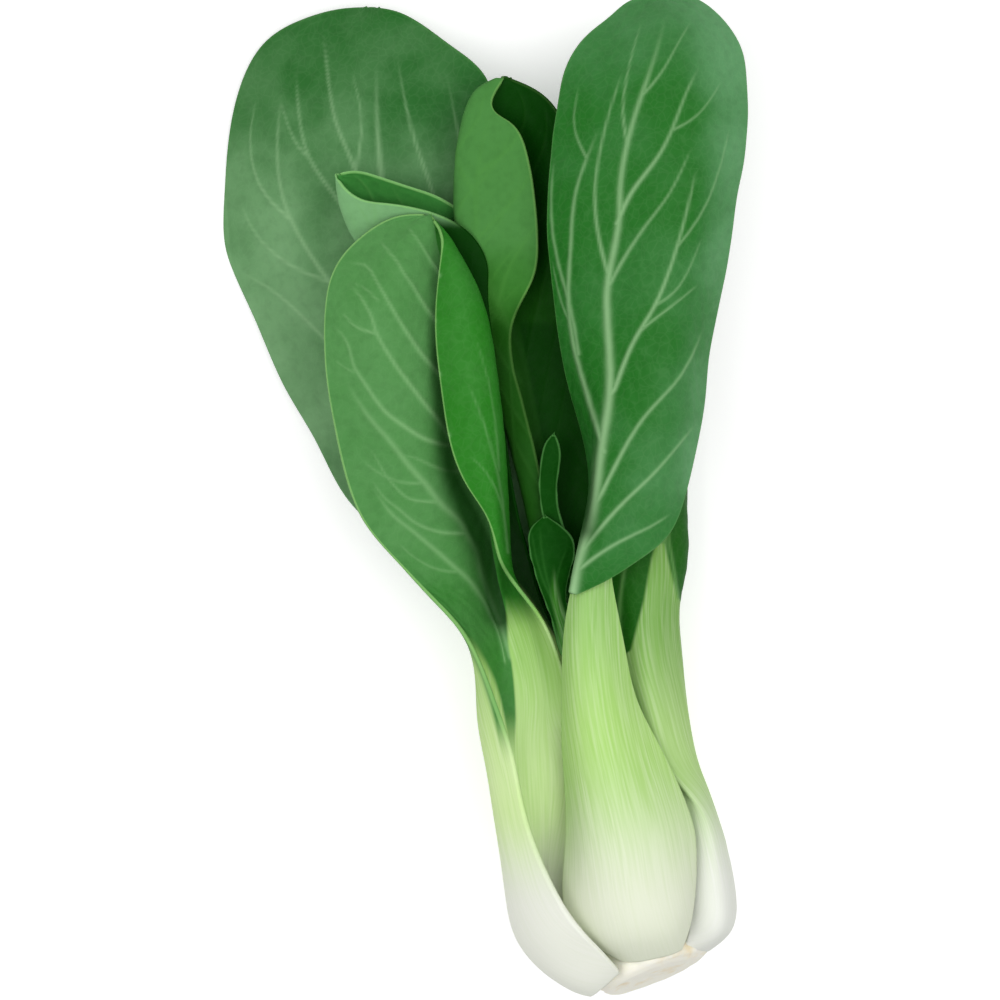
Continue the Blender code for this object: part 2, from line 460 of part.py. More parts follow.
def stem_base(name, material):
    """Rings round the core, closed at both ends, with the rings at the cut end tilted."""
    angle = np.linspace(0, 2 * np.pi, BASE_SIDES, endpoint=False)
    rings = []
    for along, radius in BASE_RINGS:
        x = BASE_CENTRE[0] + radius * np.sin(angle)
        z = BASE_CENTRE[1] + radius * np.cos(angle)
        share = np.interp(along, [CUT_END, STRAIGHT_FROM], [1.0, 0.0])
        slope = CUT_TILT * (z - BASE_CENTRE[1]) + CUT_TURN * (x - BASE_CENTRE[0])
        rings.append(np.stack([x, along + share * slope, z], axis=1))
    points = np.concatenate(rings)
    faces = [list(range(BASE_SIDES))[::-1], list(range(len(points) - BASE_SIDES, len(points)))]
    for ring in range(len(rings) - 1):
        first = ring * BASE_SIDES
        for i in range(BASE_SIDES):
            after = (i + 1) % BASE_SIDES
            faces.append([first + i, first + after, first + after + BASE_SIDES, first + i + BASE_SIDES])
    add_body(name, points, faces, material)


for old in list(bpy.data.objects):
    bpy.data.objects.remove(old)

PALE = paint("stalk_pale", (0.62, 0.78, 0.40), 0.4)
WHITE = paint("stalk_white", (0.78, 0.83, 0.66), 0.4)
GREEN = paint("blade_green", (0.07, 0.24, 0.08), 0.5)
INNER = paint("blade_inner_green", (0.08, 0.28, 0.04), 0.5)
CREAM = paint("cut_cream", (0.80, 0.78, 0.62), 0.6)

stem_base("stem_base", CREAM)
leaf("left_leaf", LEFT_LEAF, 16, 24, 15, WHITE, GREEN)
leaf("front_leaf", FRONT_STALK, 16, 0, 10, PALE, GREEN)
leaf("front_leaf", FRONT_BLADE, 0, 24, 12, PALE, GREEN)
leaf("right_leaf", RIGHT_LEAF, 15, 15, 9, WHITE, GREEN)
leaf("back_left_leaf", BACK_LEFT_LEAF, 12, 20, 10, WHITE, GREEN)
leaf("back_right_leaf", BACK_RIGHT_LEAF, 11, 17, 9, WHITE, GREEN)
leaf("cup_leaf", CUP_LEAF, 7, 16, 9, PALE, INNER)
leaf("centre_leaf", CENTRE_LEAF, 7, 17, 10, PALE, INNER)
leaf("heart_leaf", HEART_LEAF, 12, 0, 7, INNER, INNER)
leaf("small_heart_leaf", SMALL_HEART_LEAF, 10, 0, 5, INNER, INNER)
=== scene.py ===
"""A head of bok choy, cut from its root and lying on its back, seen from straight above.

Each leaf is a sheet through a few lengthwise rails, as in the part, at a finer pitch. Its
veins, the change from stalk to blade and its margin are numbers stored on its points.
"""

import bpy
import numpy as np
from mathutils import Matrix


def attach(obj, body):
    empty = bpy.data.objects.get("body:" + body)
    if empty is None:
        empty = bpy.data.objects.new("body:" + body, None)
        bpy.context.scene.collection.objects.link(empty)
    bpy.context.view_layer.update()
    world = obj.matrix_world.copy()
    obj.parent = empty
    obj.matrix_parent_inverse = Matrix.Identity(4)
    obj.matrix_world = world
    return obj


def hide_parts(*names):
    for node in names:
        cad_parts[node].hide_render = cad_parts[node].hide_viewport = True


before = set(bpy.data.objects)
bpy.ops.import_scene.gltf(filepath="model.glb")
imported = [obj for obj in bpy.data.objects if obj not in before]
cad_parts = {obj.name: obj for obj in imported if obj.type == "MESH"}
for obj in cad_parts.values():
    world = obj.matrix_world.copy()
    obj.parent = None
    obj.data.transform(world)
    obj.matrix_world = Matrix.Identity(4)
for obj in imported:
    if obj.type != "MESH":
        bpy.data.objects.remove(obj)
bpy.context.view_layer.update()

# Left front leaf
# The leaf at the left of the head's front: a thick pale stalk, hollow towards the right,
# that thins into a broad green blade with light veins. It grows from the stem base.

MM = 0.001
# Outline points are (column, row, height): column and row in quarter millimetres on a
# drawing sheet that is tilted against the head, height in millimetres above the ground.
SHEET_UNIT = 0.25
SHEET_CENTRE = (560.0, 490.0)
SHEET_TILT = np.radians(10.0)
HEAD_CENTRE = (-4.30, 0.63, 0.0)
FAR = 2000
VEIN_HEIGHT = 0.22
# How far a margin's rounded rim stands out: a share of the leaf's thickness there, up to a limit.
RIM_ROUND, RIM_LIMIT = 0.4, 0.6


def srgb(red, green, blue):
    """A colour of 0 to 255 as the linear values that a shader takes."""
    share = np.array([red, green, blue]) / 255
    linear = np.where(share < 0.04045, share / 12.92, ((share + 0.055) / 1.055) ** 2.4)
    return (*linear.tolist(), 1.0)


def at(column, row, height):
    """A sheet point as (x, y, z) in millimetres of the head."""
    across = (column - SHEET_CENTRE[0]) * SHEET_UNIT
    along = (SHEET_CENTRE[1] - row) * SHEET_UNIT
    turn_cos, turn_sin = np.cos(SHEET_TILT), np.sin(SHEET_TILT)
    return (across * turn_cos + along * turn_sin, along * turn_cos - across * turn_sin, height)


def on_sheet(points):
    """Columns and rows of points in millimetres of the head."""
    turn_cos, turn_sin = np.cos(SHEET_TILT), np.sin(SHEET_TILT)
    across = points[..., 0] * turn_cos - points[..., 1] * turn_sin
    along = points[..., 0] * turn_sin + points[..., 1] * turn_cos
    return SHEET_CENTRE[0] + across / SHEET_UNIT, SHEET_CENTRE[1] - along / SHEET_UNIT


def smooth_path(points, shares):
    """Points at the given shares of the length of a natural cubic curve through points."""
    points = np.array(points, float)
    count = len(points)
    steps = np.maximum(np.linalg.norm(np.diff(points, axis=0), axis=1), 1e-6) ** 0.5
    knots = np.concatenate([[0.0], np.cumsum(steps)])
    system = np.eye(count)
    right = np.zeros_like(points)
    for i in range(1, count - 1):
        before, after = steps[i - 1], steps[i]
        system[i, i - 1 : i + 2] = before, 2 * (before + after), after
        right[i] = 6 * ((points[i + 1] - points[i]) / after - (points[i] - points[i - 1]) / before)
    bends = np.linalg.solve(system, right)
    dense = np.linspace(0, knots[-1], 24 * count)
    low = np.clip(np.searchsorted(knots, dense, side="right") - 1, 0, count - 2)
    width = (knots[low + 1] - knots[low])[:, None]
    back = (dense - knots[low])[:, None]
    ahead = width - back
    curve = (bends[low] * ahead**3 + bends[low + 1] * back**3) / (6 * width)
    curve += (points[low] / width - bends[low] * width / 6) * ahead
    curve += (points[low + 1] / width - bends[low + 1] * width / 6) * back
    length = np.concatenate([[0.0], np.cumsum(np.linalg.norm(np.diff(curve, axis=0), axis=1))])
    wanted = np.asarray(shares) * length[-1]
    return np.stack([np.interp(wanted, length, axis) for axis in curve.T], axis=1)


def sheet(rails, along, across):
    """Grid of points [row, column]: rails run lengthwise, and each row crosses them."""
    lines = np.array([smooth_path(rail, along) for rail in rails])
    return np.array([smooth_path(lines[:, row], across) for row in range(len(along))])


def normals(grid):
    facing = np.cross(np.gradient(grid, axis=1), np.gradient(grid, axis=0))
    return facing / np.maximum(np.linalg.norm(facing, axis=2, keepdims=True), 1e-9)


def soft_step(low, high, value):
    share = np.clip((value - low) / (high - low), 0, 1)
    return share * share * (3 - 2 * share)


def strength_of(veins, columns, rows):
    """How strongly the drawn veins mark each point: 1 on a vein's line, 0 away from it.

    A vein is (width at its base, width at its tip, strength, points from base to tip).
    """
    found = np.zeros(columns.shape)
    for base, tip, strength, points in veins:
        line = smooth_path(points, np.linspace(0, 1, 4 * len(points)))
        for i in range(len(line) - 1):
            start, step = line[i], line[i + 1] - line[i]
            reach = ((columns - start[0]) * step[0] + (rows - start[1]) * step[1]) / (step @ step)
            reach = np.clip(reach, 0, 1)
            away = np.hypot(columns - start[0] - reach * step[0], rows - start[1] - reach * step[1])
            share = (i + reach) / (len(line) - 1)
            width = (base + (tip - base) * share) / SHEET_UNIT
            fade = strength * (1 - 0.55 * share) * np.clip(8 * (1 - share), 0, 1)
            found = np.maximum(found, fade * np.exp(-((away / width) ** 2)))
    return found


def inside(stations, columns, rows, blur, rise=5):
    """1 between the left and right columns given at rows from top to bottom, else 0.

    rise is how many rows it takes to grow to 1 below the first row.
    """
    tops, lefts, rights = (np.array(values, float) for values in zip(*stations))
    left = np.interp(rows, tops, lefts)
    right = np.interp(rows, tops, rights)
    covered = soft_step(-blur, blur, columns - left) * soft_step(-blur, blur, right - columns)
    return covered * soft_step(0, rise, rows - tops[0])


def even_tone(column, row, across):
    """The same green all over the blade."""
    return np.full(column.shape, 0.5)


def nowhere(column, row, across):
    """None of it at any point."""
    return np.zeros(column.shape)


def leaf_patch(
    spec, rows, columns, veins, stalk, ruffle=(0.0, 12.0), pillow=0.08, tone_and_painted_light=even_tone, painted_shade=nowhere
):
    """The two faces of a leaf and the numbers stored on their points.

    The tone argument gives 0 where the blade is dark and 1 where it is light; on some leaves
    it paints light and sheen as well as the blade's own tone. The argument after it gives
    painted shade: 1 where the leaf is painted the dark green of a place that little light has reached.
    """
    even = np.linspace(0, 1, columns)
    across = 0.5 * even + 0.25 * (1 - np.cos(np.pi * even))
    along = np.linspace(0, spec["last"], rows)
    face = sheet([rail + [spec["tip"]] for rail in spec["rails"]], along, across)
    face[-1] = smooth_path([face[-1, 0], spec["tip"], face[-1, -1]], across)
    facing = normals(face) * spec["up"]
    along, across = along[:, None], across[None, :]
    to_margin = np.abs(2 * across - 1)
    height, number, start = spec["wave"]
    swell = np.sin(2 * np.pi * (number * along + start)) + 0.6 * np.sin(
        2 * np.pi * (1.7 * number * along + 2.3 * start + 0.8 * across)
    )
    fade = np.clip(3 * along - 1.2, 0, 1) * np.clip(12 * (1 - along), 0, 1)
    crimp = np.sin(2 * np.pi * (ruffle[1] * along + 1.3 * across)) * np.sin(2 * np.pi * 3.7 * along)
    offset = height * to_margin**3 * swell * fade + ruffle[0] * to_margin**6 * crimp * fade
    face = face + facing * offset[..., None]
    face[..., 2] = np.maximum(face[..., 2], 0.0)
    thickness = np.interp(along, *zip(*spec["edge"])) + (
        np.interp(along, *zip(*spec["middle"])) - np.interp(along, *zip(*spec["edge"]))
    ) * (1 - to_margin**2) ** 1.5
    column, row = on_sheet(face)
    vein = strength_of(veins, column, row)
    green = 1 - stalk(column, row, across + 0 * along)
    fibre_x = np.cumsum(np.linalg.norm(np.diff(face, axis=1, prepend=face[:, :1]), axis=2), axis=1)
    fibre_x -= fibre_x[:, columns // 2 : columns // 2 + 1]
    fibre_y = np.cumsum(np.linalg.norm(np.diff(face, axis=0, prepend=face[:1]), axis=2), axis=0)
    width = fibre_x[:, -1:] - fibre_x[:, :1]
    edge = (1 - to_margin) * 0.5 * width
    edge = np.minimum(edge, np.maximum(fibre_y[-1:] - fibre_y, 0) + 0.2)
    bumps = np.sin(1.1 * fibre_x + 0.9 * np.sin(0.5 * fibre_y))
    bumps *= np.sin(0.8 * fibre_y + np.sin(0.7 * fibre_x))
    lift = vein * VEIN_HEIGHT + pillow * bumps * green * (1 - vein)
    lift = (lift * np.clip(edge, 0, 1))[..., None] * facing
    other = face + facing * thickness[..., None] + (lift if spec["up"] > 0 else 0.5 * lift)
    face = face - (lift if spec["up"] < 0 else 0.5 * lift)
    whole_across = across + 0 * along
    stored = {
        "vein": vein,
        "green": green,
        "tone_and_painted_light": tone_and_painted_light(column, row, whole_across),
        "painted_shade": painted_shade(column, row, whole_across),
        "row": row / 1000,
        "edge": edge,
        "lower": np.full(face.shape[:2], float(spec["up"] > 0)),
        "fibre_x": fibre_x,
        "fibre_y": fibre_y,
    }
    return face, other, stored


def leaf_piece(name, patches, material):
    """One piece from the patches of a leaf, each closed by a rounded rim."""
    points, faces, values = [], [], {}
    for first, second, stored in patches:
        rows, columns = first.shape[:2]
        count = rows * columns
        base = sum(len(block) for block in points)
        index = np.arange(count).reshape(rows, columns)
        corners = [index[:-1, :-1], index[:-1, 1:], index[1:, 1:], index[1:, :-1]]
        quads = np.stack(corners, -1).reshape(-1, 4)
        loop = np.concatenate([index[0, :-1], index[:-1, -1], index[-1, :0:-1], index[:0:-1, 0]])
        flat, flat_other = first.reshape(-1, 3), second.reshape(-1, 3)
        loop_row = np.clip(loop // columns, 1, rows - 2)
        loop_column = np.clip(loop % columns, 1, columns - 2)
        outward = flat[loop] - flat[loop_row * columns + loop_column]
        outward /= np.maximum(np.linalg.norm(outward, axis=1, keepdims=True), 1e-9)
        thick = np.linalg.norm(flat[loop] - flat_other[loop], axis=1, keepdims=True)
        rim = (flat[loop] + flat_other[loop]) / 2 + outward * np.minimum(RIM_ROUND * thick, RIM_LIMIT)
        rim[:, 2] = np.maximum(rim[:, 2], 0.0)
        middle = 2 * count + np.arange(len(loop))
        ahead, middle_ahead = np.roll(loop, -1), np.roll(middle, -1)
        bodies = np.concatenate(
            [
                quads,
                quads[:, ::-1] + count,
                np.stack((ahead, loop, middle, middle_ahead), -1),
                np.stack((middle_ahead, middle, loop + count, ahead + count), -1),
            ]
        )
        block = np.concatenate([flat, flat_other, rim])
        fan = np.concatenate([bodies[:, [0, 1, 2]], bodies[:, [0, 2, 3]]])
        if np.linalg.det(block[fan]).sum() < 0:
            bodies = bodies[:, ::-1]
        points.append(block)
        faces.append(bodies + base)
        for key, grid in stored.items():
            flat_values = grid.reshape(-1)
            on_second = 1 - flat_values if key == "lower" else flat_values
            whole = np.concatenate([flat_values, on_second, flat_values[loop]])
            values.setdefault(key, []).append(whole)
    points = (np.concatenate(points) - HEAD_CENTRE) * MM
    faces = np.concatenate(faces)
    mesh = bpy.data.meshes.new(name)
    mesh.from_pydata(points.tolist(), [], faces.tolist())
    for key, blocks in values.items():
        layer = mesh.attributes.new(key, "FLOAT", "POINT")
        layer.data.foreach_set("value", np.concatenate(blocks).astype(np.float32))
    mesh.polygons.foreach_set("use_smooth", np.ones(len(faces), bool))
    mesh.materials.append(material)
    mesh.update()
    piece = bpy.data.objects.new(name, mesh)
    bpy.context.scene.collection.objects.link(piece)
    return piece


def skin_group():
    """The look of a leaf: stalk colours by row, blade, veins, network and lengthwise fibres."""
    tree = bpy.data.node_groups.new("leaf_skin", "ShaderNodeTree")

    def socket(name, kind, default=None, way="INPUT"):
        made = tree.interface.new_socket(name, in_out=way, socket_type=f"NodeSocket{kind}")
        if default is not None:
            made.default_value = default

    for name in ("Foot", "Middle", "Top", "Blade", "Blade Light", "Under", "Vein", "Margin"):
        socket(name, "Color", (0.5, 0.5, 0.5, 1.0))
    for name, value in (("Foot Row", 0.95), ("Middle Row", 0.8), ("Top Row", 0.6), ("Edge", 0.5),
                        ("Streak", 0.5), ("Vein Share", 0.8), ("Sheen", 0.4)):
        socket(name, "Float", value)
    socket("Color", "Color", way="OUTPUT")
    socket("Roughness", "Float", way="OUTPUT")
    socket("Normal", "Vector", way="OUTPUT")
    given = tree.nodes.new("NodeGroupInput").outputs
    result = tree.nodes.new("NodeGroupOutput").inputs

    def link(source, target):
        if isinstance(source, (int, float, tuple)):
            target.default_value = source
        else:
            tree.links.new(source, target)

    def stored(name):
        node = tree.nodes.new("ShaderNodeAttribute")
        node.attribute_name = name
        return node.outputs["Fac"]

    def maths(operation, first, second=0.0):
        node = tree.nodes.new("ShaderNodeMath")
        node.operation = operation
        link(first, node.inputs[0])
        link(second, node.inputs[1])
        return node.outputs[0]

    def spread(value, low, high, new_low=0.0, new_high=1.0):
        node = tree.nodes.new("ShaderNodeMapRange")
        node.interpolation_type = "SMOOTHSTEP"
        names = ("Value", "From Min", "From Max", "To Min", "To Max")
        for source, name in zip((value, low, high, new_low, new_high), names):
            link(source, node.inputs[name])
        return node.outputs[0]

    def mix(share, first, second, blend="MIX"):
        node = tree.nodes.new("ShaderNodeMix")
        node.data_type = "RGBA"
        node.blend_type = blend
        link(share, node.inputs[0])
        link(first, node.inputs[6])
        link(second, node.inputs[7])
        return node.outputs[2]

    def noise(vector, scale, detail=3.0):
        node = tree.nodes.new("ShaderNodeTexNoise")
        link(vector, node.inputs["Vector"])
        node.inputs["Scale"].default_value = scale
        node.inputs["Detail"].default_value = detail
        return node.outputs[0]

    place = tree.nodes.new("ShaderNodeTexCoord").outputs["Object"]
    across, along = stored("fibre_x"), stored("fibre_y")
    lengthwise = tree.nodes.new("ShaderNodeCombineXYZ")
    link(across, lengthwise.inputs[0])
    link(maths("MULTIPLY", along, 0.035), lengthwise.inputs[1])
    fibres = noise(lengthwise.outputs[0], 1.5, 4.0)
    strands = noise(lengthwise.outputs[0], 0.45, 2.0)
    blotch = noise(place, 55.0, 2.0)
    grain = noise(place, 420.0, 2.0)
    cells = tree.nodes.new("ShaderNodeTexVoronoi")
    cells.feature = "DISTANCE_TO_EDGE"
    cells.inputs["Scale"].default_value = 520.0
    wobble = mix(0.0035, place, noise(place, 200.0, 0.0), "ADD")
    link(wobble, cells.inputs["Vector"])
    network = spread(cells.outputs["Distance"], 0.0, 0.13, 1.0, 0.0)
    row, green, vein = stored("row"), stored("green"), stored("vein")
    edge_line = spread(stored("edge"), 0.1, 0.5, 1.0, 0.0)

    stalk = mix(spread(row, given["Middle Row"], given["Foot Row"]), given["Middle"], given["Foot"])
    stalk = mix(spread(row, given["Top Row"], given["Middle Row"]), given["Top"], stalk)
    darker = mix(1.0, stalk, srgb(222, 236, 196), "MULTIPLY")
    lighter = mix(0.45, stalk, srgb(240, 246, 222))
    streaks = mix(spread(fibres, 0.35, 0.68), darker, lighter)
    streak_share = maths("MULTIPLY", given["Streak"], spread(strands, 0.3, 0.7, 0.35, 1.0))
    streak_share = maths("MULTIPLY", streak_share, spread(row, 0.80, 0.93, 1.0, 0.25))
    stalk = mix(streak_share, stalk, streaks)
    # The tone number, with random blotches, mixes in the lighter blade colour; on some leaves this paints
    # light and sheen.
    light_share = maths("ADD", stored("tone_and_painted_light"), spread(blotch, 0.3, 0.7, -0.12, 0.12))
    blade = mix(maths("MULTIPLY", stored("lower"), 0.9), given["Blade"], given["Under"])
    blade = mix(spread(light_share, 0.0, 1.0), blade, given["Blade Light"])
    blade = mix(maths("MULTIPLY", network, 0.03), blade, given["Vein"])
    blade = mix(spread(grain, 0.4, 0.75, 0.0, 0.10), blade, srgb(14, 46, 8))
    blade = mix(maths("MULTIPLY", vein, given["Vein Share"]), blade, given["Vein"])
    blade = mix(maths("MULTIPLY", edge_line, given["Edge"]), blade, given["Margin"])
    # Painted shade: the blade is mixed towards a near-black saturated green where the leaf is marked as
    # little lit.
    blade = mix(stored("painted_shade"), blade, srgb(6, 56, 2))
    tender = mix(spread(green, 0.1, 0.75), stalk, blade)
    link(tender, result["Color"])
    shine = maths("ADD", maths("MULTIPLY", spread(grain, 0.3, 0.7), 0.10), given["Sheen"])
    link(shine, result["Roughness"])

    relief = maths("MULTIPLY", maths("SUBTRACT", 1.0, network), maths("MULTIPLY", green, 0.04))
    relief = maths("ADD", relief, maths("MULTIPLY", vein, 0.35))
    ridges = maths("MULTIPLY", maths("SUBTRACT", 1.0, green), maths("MULTIPLY", fibres, 0.25))
    relief = maths("ADD", relief, ridges)
    bump = tree.nodes.new("ShaderNodeBump")
    bump.inputs["Strength"].default_value = 0.45
    bump.inputs["Distance"].default_value = 0.0006
    link(relief, bump.inputs["Height"])
    link(bump.outputs["Normal"], result["Normal"])
    return tree


LEAF_SKIN = skin_group()


def leaf_material(name, gloss, **looks):
    material = bpy.data.materials.new(name)
    material.use_nodes = True
    tree = material.node_tree
    shader = tree.nodes["Principled BSDF"]
    group = tree.nodes.new("ShaderNodeGroup")
    group.node_tree = LEAF_SKIN
    for key, value in looks.items():
        group.inputs[key.replace("_", " ").title()].default_value = value
    tree.links.new(group.outputs["Color"], shader.inputs["Base Color"])
    tree.links.new(group.outputs["Roughness"], shader.inputs["Roughness"])
    tree.links.new(group.outputs["Normal"], shader.inputs["Normal"])
    shader.inputs["Specular IOR Level"].default_value = gloss
    return material


LEFT_LEAF = {
    "rails": [
        [(-6.5, -121, 43.5), (-8.2, -118.5, 47), (-11.5, -113.5, 50.8), (-16.6, -105.5, 53.3),
         at(525, 826, 45.5), at(510, 756, 42), at(492, 700, 40), at(466, 640, 37), at(432, 600, 36),
         at(400, 565, 36), at(367, 524, 37), at(348, 480, 39), at(335, 421, 41), at(327, 345, 43),
         at(333, 279, 43), at(358, 242, 42), at(395, 219, 40.5)],
        [(-12, -124.6, 40), (-15, -123.5, 41.5), (-20.5, -119, 43.3), (-25, -112, 44.5),
         (-27, -104, 44.5), (-29.9, -85, 38), (-30.3, -65, 34), (-30.2, -52, 32), at(475, 650, 31),
         at(455, 600, 31.5), at(432, 560, 34), at(400, 505, 38), at(374, 440, 42), at(358, 370, 45.5),
         at(358, 300, 46.5), at(380, 250, 44), at(408, 227, 41.5)],
        [(-14.6, -125.9, 34), (-18, -124.3, 34), (-24.2, -118.8, 33), (-28.6, -112, 32),
         (-30.6, -104, 31), (-28.8, -85, 28.5), (-26.3, -65, 26.5), (-24, -52, 25.5), at(496, 640, 25),
         at(482, 590, 28), at(462, 540, 33), at(432, 480, 39), at(405, 410, 44), at(395, 340, 47.5),
         at(400, 280, 47), at(418, 238, 43)],
        [(-15, -125.2, 28.3), (-18.8, -122.5, 26), (-22.2, -116, 24.5), (-22.8, -103, 25), (-20, -85, 26),
         (-16.5, -65, 26), (-14, -52, 25.5), at(519, 640, 26), at(508, 600, 27), at(500, 567, 28.5),
         at(494, 530, 31), at(485, 480, 34), at(474, 430, 36.5), at(464, 370, 38.5), at(457, 310, 39.5),
         at(448, 265, 40), at(440, 238, 40)],
        [(-14.8, -124.5, 26.9), (-17.8, -121.7, 24.6), (-19.6, -114.6, 23.5), (-19.3, -103, 25),
         (-15.3, -85, 26.5), (-11.7, -65, 27), at(555, 700, 27.5), at(545, 660, 28.5), at(533, 620, 30.5),
         at(520, 592, 33), at(513, 570, 36), at(510, 530, 38), at(508, 485, 40), at(504, 430, 42),
         at(498, 375, 43), at(489, 322, 44), at(474, 280, 44), at(459, 252, 43.5), at(449, 236, 42)],
        [(-14.6, -123.9, 25.4), (-16.9, -120.9, 23.4), (-17.4, -113.3, 22.5), (-16, -103, 24.5),
         (-11.6, -85, 27), (-8.2, -65, 27), at(565, 700, 30.5), at(554, 660, 33), at(541, 622, 36),
         at(524, 592, 38.5), at(513, 572, 40.5), at(503, 540, 44.5), at(492, 490, 47.5), at(484, 435, 49),
         at(476, 380, 49.8), at(468, 325, 49.8), at(459, 285, 49), at(450, 254, 46.5), at(444, 236, 43)],
        [(-14.3, -123.2, 24), (-16, -120, 22), (-15, -112, 21.5), (-12.5, -103, 23.5), (-8, -85, 27),
         (-5, -65, 30), at(573, 700, 33.5), at(562, 665, 36), at(545, 622, 38), at(526, 594, 40.5),
         at(510, 574, 42.5), at(500, 557, 44), at(488, 520, 46), at(467, 484, 46.5), at(447, 428, 47),
         at(438, 370, 47.5), at(437, 300, 47.5), at(442, 252, 46), at(441, 231, 43)],
    ],
    "tip": at(432, 217, 40),
    "middle": [(0, 1.8), (0.08, 6), (0.22, 8), (0.4, 4.5), (0.52, 1.6), (1, 0.9)],
    "edge": [(0, 1.4), (0.08, 2.4), (0.22, 2.0), (0.4, 1.0), (1, 0.7)],
    "last": 0.994,
    "up": 1.0,
    "wave": (0.5, 4.0, 0.1),
    "split": 0.455,
}
LEFT_VEINS = [
    (1.1, 0.5, 1.0, [(513, 655), (506, 632), (496, 611), (487, 591), (479, 567), (475, 549), (466, 534),
     (458, 520), (441, 504), (428, 487), (416, 473), (404, 458), (392, 442), (382, 430), (371, 417),
     (360, 401), (348, 381)]),
    (1.0, 0.4, 0.9, [(501, 660), (496, 633), (490, 618), (483, 602), (476, 591), (466, 578), (453, 566),
     (439, 553), (423, 539), (410, 528), (396, 517), (384, 503), (372, 485)]),
    (0.6, 0.35, 0.9, [(446, 445), (424, 439), (404, 426), (387, 412), (376, 398), (365, 381), (356, 366),
     (352, 351), (345, 336), (334, 327)]),
    (0.65, 0.3, 0.95, [(448, 436), (436, 419), (424, 405), (411, 388), (398, 370), (387, 352), (377, 332),
     (373, 318), (366, 304), (358, 293), (346, 283)]),
    (0.6, 0.3, 0.9, [(439, 375), (421, 356), (411, 342), (398, 321), (387, 300), (379, 285), (369, 269),
     (361, 266), (347, 264)]),
    (0.5, 0.3, 0.8, [(435, 322), (421, 304), (411, 287), (403, 275), (396, 262), (387, 251), (380, 240)]),
    (0.45, 0.3, 0.7, [(440, 277), (427, 259), (418, 244), (412, 235), (408, 228)]),
    (0.4, 0.25, 0.7, [(377, 334), (366, 331), (355, 325), (344, 313)]),
    (0.4, 0.25, 0.6, [(437, 501), (423, 500), (409, 497), (396, 486), (386, 473), (378, 459),
     (372, 448)]),
    (0.4, 0.25, 0.5, [(421, 482), (410, 482), (395, 479), (378, 471), (364, 460)]),
    (0.5, 0.3, 0.6, [(457, 471), (445, 470), (430, 465), (416, 458), (404, 454)]),
    (0.5, 0.3, 0.7, [(465, 532), (441, 531), (427, 527), (413, 520), (399, 508), (385, 497), (372, 478)]),
    (0.4, 0.25, 0.5, [(454, 571), (437, 569), (423, 563), (409, 553), (398, 542)]),
    (0.35, 0.2, 0.4, [(357, 372), (347, 368), (337, 360)]),
    (0.35, 0.2, 0.4, [(379, 302), (366, 290), (352, 284)]),
    (0.4, 0.25, 0.5, [(508, 552), (504, 515), (499, 480), (489, 440), (478, 408), (466, 380)]),
    (0.35, 0.2, 0.45, [(504, 515), (497, 492), (484, 470), (468, 455)]),
    (0.35, 0.2, 0.4, [(499, 470), (496, 430), (488, 380), (474, 335)]),
]


def left_stalk(column, row, across):
    rim = inside([(610, -FAR, 448), (640, -FAR, 470), (700, -FAR, 490), (760, -FAR, 506), (830, -FAR, 540),
                  (880, -FAR, FAR)], column, row, 7, 70)
    hollow = inside([(560, 500, 516), (592, 505, FAR), (620, 509, FAR), (660, 514, FAR), (720, 513, FAR),
                     (770, 506, FAR), (830, 500, FAR)], column, row, 5, 90)
    groove = 0.9 * soft_step(670, 780, row)
    return np.maximum(np.maximum(rim, hollow), groove)


def left_tone_and_painted_light(column, row, across):
    """Lighter on the open half, painted light where it faces the light; darker on the rolled half and at
    the foot of the blade.
    """
    open_half = 0.82 - 0.35 * soft_step(500, 600, row)
    return np.where(across > 0.62, 0.12 - 0.12 * soft_step(380, 500, row), open_half)


def left_painted_shade(column, row, across):
    """Painted shade: the shadow that the rolled margin casts into the valley beside it, and the shade under
    the roll's foot.
    """
    valley = [(5.5, 1.2, 1.0, [(500, 610), (484, 552), (464, 508), (448, 470), (440, 420), (434, 370),
                               (433, 310)])]
    fold = [(1.6, 0.8, 0.4, [(508, 590), (504, 540), (500, 500), (497, 450)])]
    shade = strength_of(valley, column, row) * (across < 0.62)
    return np.clip(1.25 * shade + strength_of(fold, column, row) * (across > 0.62), 0, 0.92)


left_patch = leaf_patch(
    LEFT_LEAF, 380, 118, LEFT_VEINS, left_stalk, pillow=0.08, tone_and_painted_light=left_tone_and_painted_light, painted_shade=left_painted_shade
)
# Its lighter blade colour is what the painted light on the open half mixes in.
left_skin = leaf_material(
    "left_leaf_skin", 0.12,
    foot=srgb(240, 242, 231), middle=srgb(214, 240, 170), top=srgb(160, 206, 110),
    foot_row=0.91, middle_row=0.80, top_row=0.62,
    blade=srgb(44, 122, 34), blade_light=srgb(84, 144, 78), under=srgb(40, 126, 28),
    vein=srgb(146, 196, 134), margin=srgb(150, 205, 120), edge=0.6, streak=0.4, vein_share=0.62, sheen=0.5,
)
left_leaf = leaf_piece("leaf_left", [left_patch], left_skin)
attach(left_leaf, "root")
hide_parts("left_leaf_stalk", "left_leaf_blade")

# Centre front leaf
# The leaf in the middle of the front: a round pale stalk with fine lengthwise fibres, and a
# dark green blade whose foot crosses the top of the stalk. One leaf, grown as one piece.

